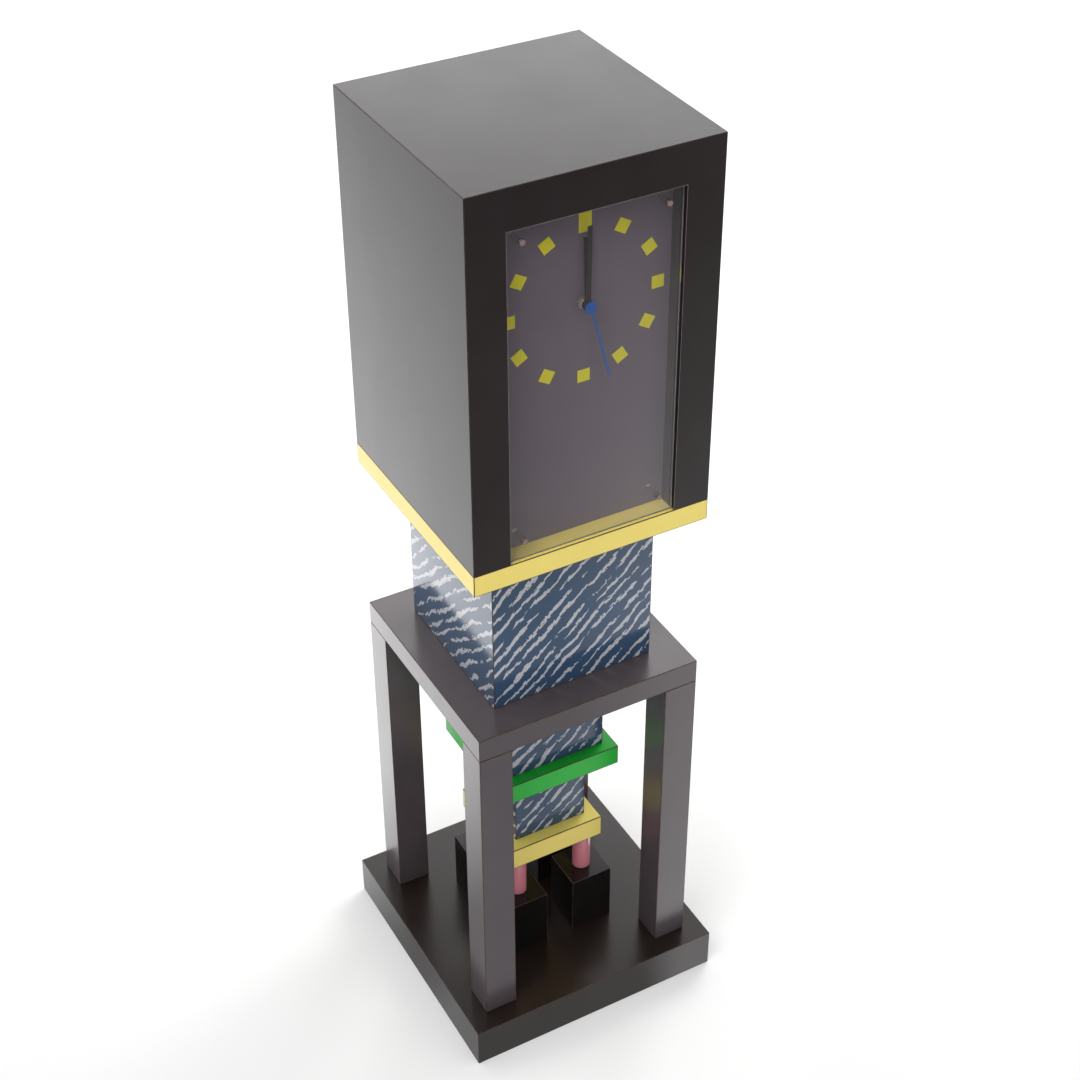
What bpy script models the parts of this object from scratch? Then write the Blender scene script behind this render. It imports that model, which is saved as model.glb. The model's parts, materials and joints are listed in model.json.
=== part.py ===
"""Laminate floor clock: a stacked pedestal with a table, and a glazed head with a battery movement.

Units are metres, +Z is up, the dial faces -Y and the object stands on Z = 0.
"""
import math

import bmesh
import bpy
from mathutils import Matrix, Vector

MM = 0.001

# clearances
FIT = 0.3 * MM            # between pieces that touch
MITRE = FIT * math.sqrt(2.0)  # the same clearance read along a face at a mitred corner

# pedestal, from the floor up
BASE_SIDE = 466 * MM
BASE_H = 75 * MM
BLOCK_SIDE = 77 * MM
BLOCK_H = 112 * MM
BLOCK_GAP = 51.5 * MM
ROD_R = 16.2 * MM
ROD_H = 80 * MM
LOWER_SLAB_SIDE = 179 * MM
LOWER_SLAB_H = 41.5 * MM
LOWER_COLUMN_SIDE = 135 * MM
LOWER_COLUMN_H = 134 * MM
GREEN_SIDE = 217 * MM
GREEN_H = 38 * MM
MID_COLUMN_SIDE = 177.5 * MM
MID_COLUMN_H = 174 * MM
TABLE_SIDE = 396 * MM
TABLE_H = 42 * MM
LEG_SIDE = 57.7 * MM
UPPER_COLUMN_SIDE = 283.5 * MM
UPPER_COLUMN_H = 284.5 * MM
UPPER_SLAB_H = 36.5 * MM
COLUMN_WALL = 18 * MM
EDGE = 0.5 * MM           # eased edge of a laminated board
ROD_EDGE = 0.8 * MM

# head
HEAD_SIDE = 400 * MM
HEAD_H = 606 * MM
WALL = 18 * MM            # side, top and mitred thickness
FRAME_T = 38 * MM         # front frame, which is also the depth of the recess
STILE = 61 * MM           # width of the frame beside the opening
TOP_RAIL = 64 * MM        # height of the frame above it
OPENING_W = HEAD_SIDE - 2 * STILE
OPENING_H = HEAD_H - TOP_RAIL
DOOR_T = 16 * MM
DOOR_GAP = 1.5 * MM

# dial and glass
DIAL_T = 6 * MM
DIAL_LAP = 20 * MM        # how far the dial reaches behind the frame
DIAL_DOWN = 160 * MM      # dial centre below the top of the opening
MARKER_RING = 119 * MM
MARKER_SIDE = 20 * MM
MARKER_UP = 0.5 * MM
MARKER_12_TALL = 46 * MM
GLASS_T = 6 * MM
GLASS_SET_BACK = 4.2 * MM
GLASS_GAP = 1.5 * MM
PIN_IN = 25.2 * MM        # pins in from the sides of the opening
PIN_UP = 31.5 * MM        # lower pins above the upper slab
PIN_DOWN = 22.5 * MM      # upper pins below the top of the opening
PIN_SHANK_R = 4.4 * MM
PIN_NECK_R = 3.0 * MM
PIN_CAP_T = 2.4 * MM

# hands, measured forward from the dial face
HOUR_HAND_UP = 7.0 * MM
MINUTE_HAND_UP = 11.2 * MM
SECOND_HAND_UP = 18.0 * MM
HAND_T = 1.2 * MM
HOUR_HAND_LEN = 105 * MM
MINUTE_HAND_LEN = 123 * MM
SECOND_HAND_LEN = 124 * MM
HAND_W = 7.2 * MM
SECOND_HAND_W = 3.0 * MM
HUB_R = 8.5 * MM
SECOND_HUB_R = 9.0 * MM
HOUR_ANGLE = -1.5         # degrees clockwise from twelve
MINUTE_ANGLE = 0.5
SECOND_ANGLE = 165.0

# movement case
CASE_UP = 30 * MM
CASE_FRONT_T = 2 * MM
CASE_WALL = 1.5 * MM
CASE_INNER = 17.5 * MM
COVER_T = 1.5 * MM
BUSH_R = 4.8 * MM
NUT_FLATS = 17 * MM
NUT_T = 4 * MM
WASHER_R = 10.5 * MM
WASHER_T = 0.8 * MM
BUSH_PROUD = 1.0 * MM     # bush beyond the nut

# arbors and tubes
SECOND_ARBOR_R = 0.8 * MM
TUBE_WALL = 0.8 * MM
ARBOR_R = 0.5 * MM
KNOB_ARBOR_R = 0.8 * MM

# gear train: teeth and modules
MODULE_MOTION = 0.7 * MM
CANNON_TEETH = 10
MINUTE_TEETH = 30
MINUTE_PINION_TEETH = 8
HOUR_TEETH = 32
TRAIN_CLEAR = 1.27 * MM   # third arbor from the hour wheel's teeth
CENTRE_TEETH = 60
THIRD_PINION_TEETH = 8
THIRD_TEETH = 64
SECOND_PINION_TEETH = 8
MODULE_SECOND = 0.35 * MM
SECOND_TEETH = 40
REDUCTION_PINION_TEETH = 8
MODULE_ROTOR = 0.3 * MM
REDUCTION_TEETH = 48
ROTOR_PINION_TEETH = 8
TOOTH_TIP = 0.9
TOOTH_ROOT = 1.25
TOOTH_BASE_SHARE = 0.56   # of the pitch, at the root
TOOTH_TIP_SHARE = 0.16    # of the pitch, at the tip

# where each wheel lies behind the inner front face of the case, and its thickness
HOUR_PLANE = 0.5 * MM
MINUTE_PLANE = 2.3 * MM
CENTRE_PLANE = 3.8 * MM
THIRD_PLANE = 5.8 * MM
BRIDGE_PLANE = 7.1 * MM
SECOND_PLANE = 8.4 * MM
REDUCTION_PLANE = 10.0 * MM
ROTOR_PLANE = 12.2 * MM
STATOR_PLANE = 13.2 * MM
MOTION_T = 1.2 * MM
WHEEL_T = 0.8 * MM
PINION_EXTRA = 0.2 * MM   # pinion wider than its wheel, on each side
ROTOR_R = 3.0 * MM
ROTOR_T = 3.2 * MM

MINUTE_ARBOR_DEG = 160.0
THIRD_ARBOR_DEG = 20.0
REDUCTION_ARBOR_DEG = 90.0
ROTOR_ARBOR_DEG = 150.0

# battery
CELL_R = 7.25 * MM
CELL_LEN = 49.5 * MM
CELL_NUB = 1.0 * MM
CONTACT_ROOM = 3.25 * MM  # at each end of the cell
SHELF_T = 1.0 * MM        # between the cell and the wheels
SHELF_CLEAR = 1.99 * MM   # wheels above the shelf
CELL_CLEAR = 0.35 * MM    # cell above the case's floor
WHEEL_CLEAR = 1.0 * MM    # wheels from the case's sides

# rear door furniture
LEAF_T = 1.0 * MM
LEAF_W = 18 * MM
KNUCKLE_R = 3.0 * MM
KNUCKLE_BORE = 1.5 * MM
HINGE_PIN_R = 1.2 * MM
KNUCKLES = 9
KNOB_R = 12 * MM
KNOB_OUT = 21 * MM
KNOB_X = 150 * MM

ROUND = 48                # sides of a visible round piece
SMALL_ROUND = 24          # sides of a small one

# levels
Z_BLOCK = BASE_H + FIT
Z_ROD = Z_BLOCK + BLOCK_H + FIT
Z_LOWER_SLAB = Z_ROD + ROD_H + FIT
Z_LOWER_COLUMN = Z_LOWER_SLAB + LOWER_SLAB_H + FIT
Z_GREEN = Z_LOWER_COLUMN + LOWER_COLUMN_H + FIT
Z_MID_COLUMN = Z_GREEN + GREEN_H + FIT
Z_TABLE = Z_MID_COLUMN + MID_COLUMN_H + FIT
Z_UPPER_COLUMN = Z_TABLE + TABLE_H + FIT
Z_UPPER_SLAB = Z_UPPER_COLUMN + UPPER_COLUMN_H + FIT
Z_SLAB_TOP = Z_UPPER_SLAB + UPPER_SLAB_H
Z_HEAD = Z_SLAB_TOP + FIT
Z_TOP = Z_HEAD + HEAD_H
Z_OPENING = Z_SLAB_TOP + OPENING_H
Z_DIAL = Z_OPENING - DIAL_DOWN

Y_FRONT = -HEAD_SIDE / 2
Y_BACK = HEAD_SIDE / 2
Y_DIAL = Y_FRONT + FRAME_T + FIT
Y_DIAL_BACK = Y_DIAL + DIAL_T
Y_CASE = Y_DIAL_BACK + FIT
Y_INNER = Y_CASE + CASE_FRONT_T
Y_COVER = Y_INNER + CASE_INNER + FIT
BLOCK_AT = (BLOCK_GAP + BLOCK_SIDE) / 2

MINUTE_TUBE_IN = SECOND_ARBOR_R + FIT
MINUTE_TUBE_OUT = MINUTE_TUBE_IN + TUBE_WALL
HOUR_TUBE_IN = MINUTE_TUBE_OUT + FIT
HOUR_TUBE_OUT = HOUR_TUBE_IN + TUBE_WALL
BUSH_BORE = HOUR_TUBE_OUT + FIT

HINGE_X = -HEAD_SIDE / 2 + WALL + FIT + LEAF_T + FIT / 2
HINGE_Y = Y_BACK + KNUCKLE_R + FIT


def beside(centre, distance, degrees):
    """A point at a distance and direction from another."""
    turn = math.radians(degrees)
    return (centre[0] + distance * math.cos(turn), centre[1] + distance * math.sin(turn))


def tip_radius(teeth, module):
    """Radius to the tips of a gear's teeth."""
    return (teeth / 2 + TOOTH_TIP) * module


CENTRE = (0.0, Z_DIAL)
MINUTE_AT = beside(CENTRE, (CANNON_TEETH + MINUTE_TEETH) * MODULE_MOTION / 2, MINUTE_ARBOR_DEG)
THIRD_DISTANCE = tip_radius(HOUR_TEETH, MODULE_MOTION) + TRAIN_CLEAR + ARBOR_R
MODULE_CENTRE = 2 * THIRD_DISTANCE / (CENTRE_TEETH + THIRD_PINION_TEETH)
MODULE_THIRD = 2 * THIRD_DISTANCE / (THIRD_TEETH + SECOND_PINION_TEETH)
THIRD_AT = beside(CENTRE, THIRD_DISTANCE, THIRD_ARBOR_DEG)
REDUCTION_DISTANCE = (SECOND_TEETH + REDUCTION_PINION_TEETH) * MODULE_SECOND / 2
REDUCTION_AT = beside(CENTRE, REDUCTION_DISTANCE, REDUCTION_ARBOR_DEG)
ROTOR_DISTANCE = (REDUCTION_TEETH + ROTOR_PINION_TEETH) * MODULE_ROTOR / 2
ROTOR_AT = beside(REDUCTION_AT, ROTOR_DISTANCE, ROTOR_ARBOR_DEG)
LAST = CASE_INNER - FIT   # where full-length arbors end
STATOR_W = 22 * MM
STATOR_CORE = 2.6 * MM
STATOR_TOP = Z_DIAL + 24.8 * MM

# the case clears its widest contents
CASE_HALF_W = CASE_WALL + max(
    (CELL_LEN + CELL_NUB) / 2 + CONTACT_ROOM,
    THIRD_AT[0] + tip_radius(THIRD_TEETH, MODULE_THIRD) + WHEEL_CLEAR,
    tip_radius(MINUTE_TEETH, MODULE_MOTION) - MINUTE_AT[0] + WHEEL_CLEAR,
)
LOWEST_TEETH = max(tip_radius(CENTRE_TEETH, MODULE_CENTRE), tip_radius(HOUR_TEETH, MODULE_MOTION))
CELL_DOWN = LOWEST_TEETH + SHELF_CLEAR + SHELF_T + FIT + CELL_R
CASE_DOWN = CELL_DOWN + CELL_R + CELL_CLEAR + CASE_WALL

PARTS = "floor_clock"
CUTTERS = "floor_clock_cutters"


# ---------------------------------------------------------------- set-up

def clear():
    """Removes whatever the start-up file holds."""
    for old in list(bpy.data.objects):
        bpy.data.objects.remove(old, do_unlink=True)


def collection(name):
    """A collection of that name, linked to the scene."""
    made = bpy.data.collections.new(name)
    bpy.context.scene.collection.children.link(made)
    return made


clear()
parts = collection(PARTS)
cutters = collection(CUTTERS)


def material(name, colour, roughness, metallic=0.0, transmission=0.0):
    """A Principled material."""
    made = bpy.data.materials.new(name)
    made.use_nodes = True
    shader = made.node_tree.nodes["Principled BSDF"]
    shader.inputs["Base Color"].default_value = (*colour, 1.0)
    shader.inputs["Roughness"].default_value = roughness
    shader.inputs["Metallic"].default_value = metallic
    shader.inputs["Transmission Weight"].default_value = transmission
    made.diffuse_color = (*colour, 1.0)
    made.roughness = roughness
    made.metallic = metallic
    return made


BLACK_LAMINATE = (0.022, 0.019, 0.019)
GREY_LAMINATE = (0.080, 0.071, 0.076)
DIAL_GREY = (0.102, 0.088, 0.100)
YELLOW_LAMINATE = (0.70, 0.58, 0.18)
BLUE_LAMINATE = (0.068, 0.120, 0.205)
GREEN_LAMINATE = (0.012, 0.400, 0.060)
PINK = (0.43, 0.155, 0.180)
GLOSS_BLACK = (0.006, 0.005, 0.005)
HAND_BLACK = (0.020, 0.019, 0.020)
HAND_BLUE = (0.022, 0.085, 0.360)
NICKEL = (0.60, 0.58, 0.54)
BRASS = (0.62, 0.42, 0.16)
STEEL = (0.50, 0.50, 0.51)
PLASTIC_BLACK = (0.018, 0.018, 0.019)
PLASTIC_WHITE = (0.72, 0.71, 0.68)
COPPER = (0.48, 0.19, 0.08)
BOARD_GREEN = (0.02, 0.13, 0.06)
CELL_BLUE = (0.05, 0.10, 0.22)
CLEAR = (0.86, 0.90, 0.88)


# ---------------------------------------------------------------- shapes

def new_object(name, mesh, where, colour=None):
    """Links a mesh as a part, or as a cutter if it has no material."""
    made = bpy.data.objects.new(name, mesh)
    if colour is None:
        cutters.objects.link(made)
        made.display_type = "WIRE"
        made.hide_render = True
    else:
        parts.objects.link(made)
        mesh.materials.clear()
        mesh.materials.append(colour)
    made.location = where
    return made


def box_mesh(name, size):
    """A box about its own centre."""
    mesh = bpy.data.meshes.new(name)
    form = bmesh.new()
    bmesh.ops.create_cube(form, size=1.0)
    bmesh.ops.scale(form, vec=Vector(size), verts=form.verts)
    form.to_mesh(mesh)
    form.free()
    return mesh


def cylinder_mesh(name, radius, length, sides, axis):
    """A capped cylinder about its own centre, along X, Y or Z."""
    mesh = bpy.data.meshes.new(name)
    form = bmesh.new()
    bmesh.ops.create_cone(form, cap_ends=True, segments=sides, radius1=radius, radius2=radius, depth=length)
    turn = {"X": Matrix.Rotation(math.pi / 2, 3, "Y"), "Y": Matrix.Rotation(math.pi / 2, 3, "X")}
    if axis in turn:
        bmesh.ops.rotate(form, matrix=turn[axis], verts=form.verts)
    for face in form.faces:
        face.smooth = len(face.verts) == 4
    form.to_mesh(mesh)
    form.free()
    return mesh


def plate_mesh(name, loops, thickness):
    """A flat plate in the XZ plane, centred on Y = 0, from closed outlines (later ones are holes)."""
    curve = bpy.data.curves.new(name + "_outline", "CURVE")
    curve.dimensions = "2D"
    curve.fill_mode = "BOTH"
    curve.extrude = thickness / 2
    for loop in loops:
        spline = curve.splines.new("POLY")
        spline.points.add(len(loop) - 1)
        for point, (across, up) in zip(spline.points, loop):
            point.co = (across, up, 0.0, 1.0)
        spline.use_cyclic_u = True
    holder = bpy.data.objects.new(name + "_outline", curve)
    bpy.context.scene.collection.objects.link(holder)
    bpy.context.view_layer.update()
    mesh = bpy.data.meshes.new_from_object(holder.evaluated_get(bpy.context.evaluated_depsgraph_get()))
    bpy.data.objects.remove(holder, do_unlink=True)
    bpy.data.curves.remove(curve)
    form = bmesh.new()
    form.from_mesh(mesh)
    bmesh.ops.remove_doubles(form, verts=form.verts, dist=1e-7)
    bmesh.ops.rotate(form, matrix=Matrix.Rotation(math.pi / 2, 3, "X"), verts=form.verts)
    bmesh.ops.recalc_face_normals(form, faces=form.faces)
    form.to_mesh(mesh)
    form.free()
    mesh.name = name
    return mesh


def circle(radius, sides, at=(0.0, 0.0)):
    """Points of a circle in a plate's plane."""
    turns = [2 * math.pi * i / sides for i in range(sides)]
    return [(at[0] + radius * math.cos(t), at[1] + radius * math.sin(t)) for t in turns]


def rectangle(width, height, at=(0.0, 0.0), turn=0.0):
    """Points of a rectangle in a plate's plane, turned anticlockwise in radians."""
    points = []
    for right, up in ((-1, -1), (1, -1), (1, 1), (-1, 1)):
        across = right * width / 2
        high = up * height / 2
        points.append((
            at[0] + across * math.cos(turn) - high * math.sin(turn),
            at[1] + across * math.sin(turn) + high * math.cos(turn),
        ))
    return points


def combine(target, other, how):
    """Adds a Boolean of another object to a part."""
    step = target.modifiers.new(how.lower() + "_" + other.name, "BOOLEAN")
    step.operation = how
    step.solver = "EXACT"
    step.object = other


def ease(target, width=EDGE, segments=1):
    """Eases the sharp edges of a part."""
    step = target.modifiers.new("eased_edges", "BEVEL")
    step.width = width
    step.segments = segments
    step.limit_method = "ANGLE"
    step.angle_limit = math.radians(50)


def board(name, size, where, colour, width=EDGE):
    """A laminated board or block; where is the centre of its underside."""
    centre = (where[0], where[1], where[2] + size[2] / 2)
    made = new_object(name, box_mesh(name, size), centre, colour)
    ease(made, width)
    return made


def cut_box(target, name, size, centre):
    """Cuts a box out of a part."""
    combine(target, new_object(name, box_mesh(name, size), centre), "DIFFERENCE")


def add_box(target, name, size, centre):
    """Adds a box to a part."""
    combine(target, new_object(name, box_mesh(name, size), centre), "UNION")


def cut_round(target, name, radius, length, centre, axis, sides=SMALL_ROUND):
    """Cuts a round hole in a part."""
    combine(target, new_object(name, cylinder_mesh(name, radius, length, sides, axis), centre), "DIFFERENCE")


def add_round(target, name, radius, length, centre, axis, sides=SMALL_ROUND):
    """Adds a round piece to a part."""
    combine(target, new_object(name, cylinder_mesh(name, radius, length, sides, axis), centre), "UNION")


def turned(name, profile, where, colour, axis, sides=SMALL_ROUND):
    """A turned piece from a closed outer profile of (radius, along) points, top to bottom."""
    mesh = bpy.data.meshes.new(name)
    form = bmesh.new()
    line = [form.verts.new((radius, 0.0, along)) for radius, along in profile]
    for first, second in zip(line, line[1:]):
        form.edges.new((first, second))
    form.to_mesh(mesh)
    form.free()
    made = new_object(name, mesh, where, colour)
    turn = made.modifiers.new("turning", "SCREW")
    turn.axis = "Z"
    turn.steps = sides
    turn.render_steps = sides
    turn.use_merge_vertices = True
    turn.merge_threshold = 1e-5
    turn.use_smooth_shade = True
    if axis == "Y":
        made.rotation_euler = (math.pi / 2, 0.0, 0.0)
    return made


# ---------------------------------------------------------------- pedestal

black_board = material("black_laminate", BLACK_LAMINATE, 0.45)
base_board = material("base_black_laminate", GLOSS_BLACK, 0.38)
block_black = material("gloss_black_block", GLOSS_BLACK, 0.18)
rod_pink = material("pink_rod", PINK, 0.35)
yellow_board = material("yellow_laminate", YELLOW_LAMINATE, 0.40)
blue_board = material("blue_streaked_laminate", BLUE_LAMINATE, 0.42)
green_board = material("green_laminate", GREEN_LAMINATE, 0.38)
grey_board = material("grey_laminate", GREY_LAMINATE, 0.42)


def own(base, name):
    """A material of a part's own, like the one given."""
    made = base.copy()
    made.name = name
    return made


def column(name, side, height, bottom, colour):
    """A square tube of four laminated walls, open at both ends."""
    made = board(name, (side, side, height), (0.0, 0.0, bottom), colour)
    inner = side - 2 * COLUMN_WALL
    cut_box(made, name + "_hollow", (inner, inner, 2 * height), (0.0, 0.0, bottom + height / 2))
    return made


def build_pedestal():
    """Base, blocks, rods, slabs, columns, tabletop and legs."""
    board("base_plinth", (BASE_SIDE, BASE_SIDE, BASE_H), (0, 0, 0), base_board)
    corners = {"front_left": (-1, -1), "front_right": (1, -1), "back_left": (-1, 1), "back_right": (1, 1)}
    leg_at = (TABLE_SIDE - LEG_SIDE) / 2
    leg_bottom = BASE_H + FIT
    leg_h = Z_TABLE - FIT - leg_bottom
    for corner, (right, back) in corners.items():
        at = (right * BLOCK_AT, back * BLOCK_AT)
        size = (BLOCK_SIDE, BLOCK_SIDE, BLOCK_H)
        board("foot_block_" + corner, size, (*at, Z_BLOCK), own(block_black, "black_block_" + corner))
        name = "rod_" + corner
        mesh = cylinder_mesh(name, ROD_R, ROD_H, ROUND, "Z")
        rod = new_object(name, mesh, (*at, Z_ROD + ROD_H / 2), own(rod_pink, "pink_rod_" + corner))
        ease(rod, ROD_EDGE)
        foot = (right * leg_at, back * leg_at, leg_bottom)
        board("table_leg_" + corner, (LEG_SIDE, LEG_SIDE, leg_h), foot, own(grey_board, "grey_leg_" + corner))
    lower = (LOWER_SLAB_SIDE, LOWER_SLAB_SIDE, LOWER_SLAB_H)
    board("lower_yellow_slab", lower, (0, 0, Z_LOWER_SLAB), own(yellow_board, "yellow_lower_slab"))
    column("lower_column", LOWER_COLUMN_SIDE, LOWER_COLUMN_H, Z_LOWER_COLUMN, own(blue_board, "blue_lower_column"))
    board("green_slab", (GREEN_SIDE, GREEN_SIDE, GREEN_H), (0, 0, Z_GREEN), green_board)
    column("middle_column", MID_COLUMN_SIDE, MID_COLUMN_H, Z_MID_COLUMN, own(blue_board, "blue_middle_column"))
    board("tabletop", (TABLE_SIDE, TABLE_SIDE, TABLE_H), (0, 0, Z_TABLE), own(grey_board, "grey_tabletop"))
    column("upper_column", UPPER_COLUMN_SIDE, UPPER_COLUMN_H, Z_UPPER_COLUMN, own(blue_board, "blue_upper_column"))
    upper = (HEAD_SIDE, HEAD_SIDE, UPPER_SLAB_H)
    board("upper_yellow_slab", upper, (0, 0, Z_UPPER_SLAB), own(yellow_board, "yellow_upper_slab"))


# ---------------------------------------------------------------- head

def mitred(name, size, centre, inward, cuts, colour):
    """A board whose edges are cut back on its inner face; cuts is {(axis, sign): depth}."""
    mesh = box_mesh(name, size)
    axis, sign = inward
    for vert in mesh.vertices:
        if vert.co[axis] * sign > 0:
            for (other, side), depth in cuts.items():
                if vert.co[other] * side > 0:
                    vert.co[other] -= side * depth
    made = new_object(name, mesh, centre, colour)
    ease(made, EDGE)
    return made


def build_head():
    """Mitred sides, top and front frame, and the rear door in the opening behind them."""
    half = HEAD_SIDE / 2
    side_h = HEAD_H - MITRE
    for name, right in (("head_left_panel", -1), ("head_right_panel", 1)):
        size = (WALL, HEAD_SIDE, side_h)
        centre = (right * (half - WALL / 2), 0.0, Z_HEAD + side_h / 2)
        cuts = {(1, -1): WALL, (2, 1): WALL}
        mitred(name, size, centre, (0, -right), cuts, own(black_board, "black_" + name))
    size = (HEAD_SIDE, HEAD_SIDE, WALL)
    cuts = {(1, -1): WALL, (0, 1): WALL, (0, -1): WALL}
    centre = (0.0, 0.0, Z_TOP - WALL / 2)
    mitred("head_top_panel", size, centre, (2, -1), cuts, own(black_board, "black_head_top"))

    lip = WALL + 2 * EDGE
    size = (HEAD_SIDE - 2 * MITRE, lip, side_h)
    centre = (0.0, Y_FRONT + lip / 2, Z_HEAD + side_h / 2)
    cuts = {(2, 1): lip, (0, 1): lip, (0, -1): lip}
    colour = own(black_board, "black_head_front")
    frame = mitred("head_front_frame", size, centre, (1, 1), cuts, colour)
    inner_w = HEAD_SIDE - 2 * (WALL + FIT)
    inner_h = HEAD_H - WALL - FIT
    depth = FRAME_T - WALL / 2
    back = (0.0, Y_FRONT + WALL / 2 + depth / 2, Z_HEAD + inner_h / 2)
    add_box(frame, "front_frame_backing", (inner_w, depth, inner_h), back)
    hole = (0.0, Y_FRONT + FRAME_T / 2, Z_OPENING - HEAD_H / 2)
    cut_box(frame, "front_frame_opening", (OPENING_W, 2 * FRAME_T, HEAD_H), hole)


def build_door():
    """The rear door, its continuous hinge, knob and magnetic catch."""
    inner = HEAD_SIDE / 2 - WALL
    left = HINGE_X + FIT / 2 + LEAF_T + FIT
    right = inner - DOOR_GAP
    low = Z_SLAB_TOP + DOOR_GAP
    high = Z_TOP - WALL - DOOR_GAP
    mid_z = (low + high) / 2
    pivot = Vector((HINGE_X, HINGE_Y, mid_z))
    mesh = box_mesh("rear_door", (right - left, DOOR_T, high - low))
    shift = Vector(((left + right) / 2, Y_BACK - DOOR_T / 2, mid_z)) - pivot
    mesh.transform(Matrix.Translation(shift))
    door = new_object("rear_door", mesh, pivot, own(black_board, "black_rear_door"))
    ease(door, EDGE)

    length = high - low
    pitch = length / KNUCKLES
    steel = material("hinge_steel", STEEL, 0.32, 1.0)
    for name, side, first in (("hinge_frame_leaf", -1, 0), ("hinge_door_leaf", 1, 1)):
        reach = LEAF_W + KNUCKLE_R + FIT
        leaf = box_mesh(name, (LEAF_T, reach, length))
        offset = Vector((side * (LEAF_T + FIT) / 2, -reach / 2, 0.0))
        leaf.transform(Matrix.Translation(offset))
        made = new_object(name, leaf, pivot, own(steel, name + "_steel"))
        for i in range(KNUCKLES):
            at = pivot + Vector((0.0, 0.0, (i + 0.5) * pitch - length / 2))
            if i % 2 == first:
                knuckle = name + "_knuckle_" + str(i)
                add_round(made, knuckle, KNUCKLE_R, pitch - FIT, at, "Z", SMALL_ROUND)
            else:
                relief = name + "_relief_" + str(i)
                cut_round(made, relief, KNUCKLE_R + FIT, pitch + FIT, at, "Z", SMALL_ROUND)
        cut_round(made, name + "_bore", KNUCKLE_BORE, 2 * length, pivot, "Z", SMALL_ROUND)
    mesh = cylinder_mesh("hinge_pin", HINGE_PIN_R, length, SMALL_ROUND, "Z")
    new_object("hinge_pin", mesh, pivot, own(steel, "hinge_pin_steel"))

    profile = [
        (0.0, KNOB_OUT), (0.6 * KNOB_R, KNOB_OUT), (0.9 * KNOB_R, 0.9 * KNOB_OUT), (KNOB_R, 0.75 * KNOB_OUT),
        (0.85 * KNOB_R, 0.55 * KNOB_OUT), (0.5 * KNOB_R, 0.4 * KNOB_OUT), (0.45 * KNOB_R, 0.15 * KNOB_OUT),
        (0.7 * KNOB_R, 0.0), (0.0, 0.0),
    ]
    knob = turned("door_knob", profile, (KNOB_X, Y_BACK + FIT, mid_z), material("knob_black", PLASTIC_BLACK, 0.3), "Y")
    knob.rotation_euler = (-math.pi / 2, 0.0, 0.0)

    catch_w = 13 * MM
    catch_l = 40 * MM
    catch_d = 14 * MM
    strike_t = 1.2 * MM
    strike_y = Y_BACK - DOOR_T - FIT - strike_t / 2
    catch_y = strike_y - strike_t / 2 - FIT - catch_d / 2
    catch_x = inner - FIT - catch_w / 2
    size = (catch_w, catch_d, catch_l)
    body = new_object("magnetic_catch", box_mesh("magnetic_catch", size), (catch_x, catch_y, mid_z),
                      material("catch_white", PLASTIC_WHITE, 0.5))
    slot_w = 1.6 * MM
    slot_d = 3 * MM
    face = catch_y + catch_d / 2
    for name, off in (("catch_slot_inner", -1), ("catch_slot_outer", 1)):
        at = (catch_x + off * catch_w / 5, face, mid_z)
        cut_box(body, name, (slot_w, slot_d, 0.7 * catch_l), at)
    size = (catch_w, strike_t, catch_l)
    at = (catch_x - DOOR_GAP, strike_y, mid_z)
    plate = new_object("strike_plate", box_mesh("strike_plate", size), at, own(steel, "strike_plate_steel"))
    ease(plate, 0.2 * MM)


# ---------------------------------------------------------------- dial and glass

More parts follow.
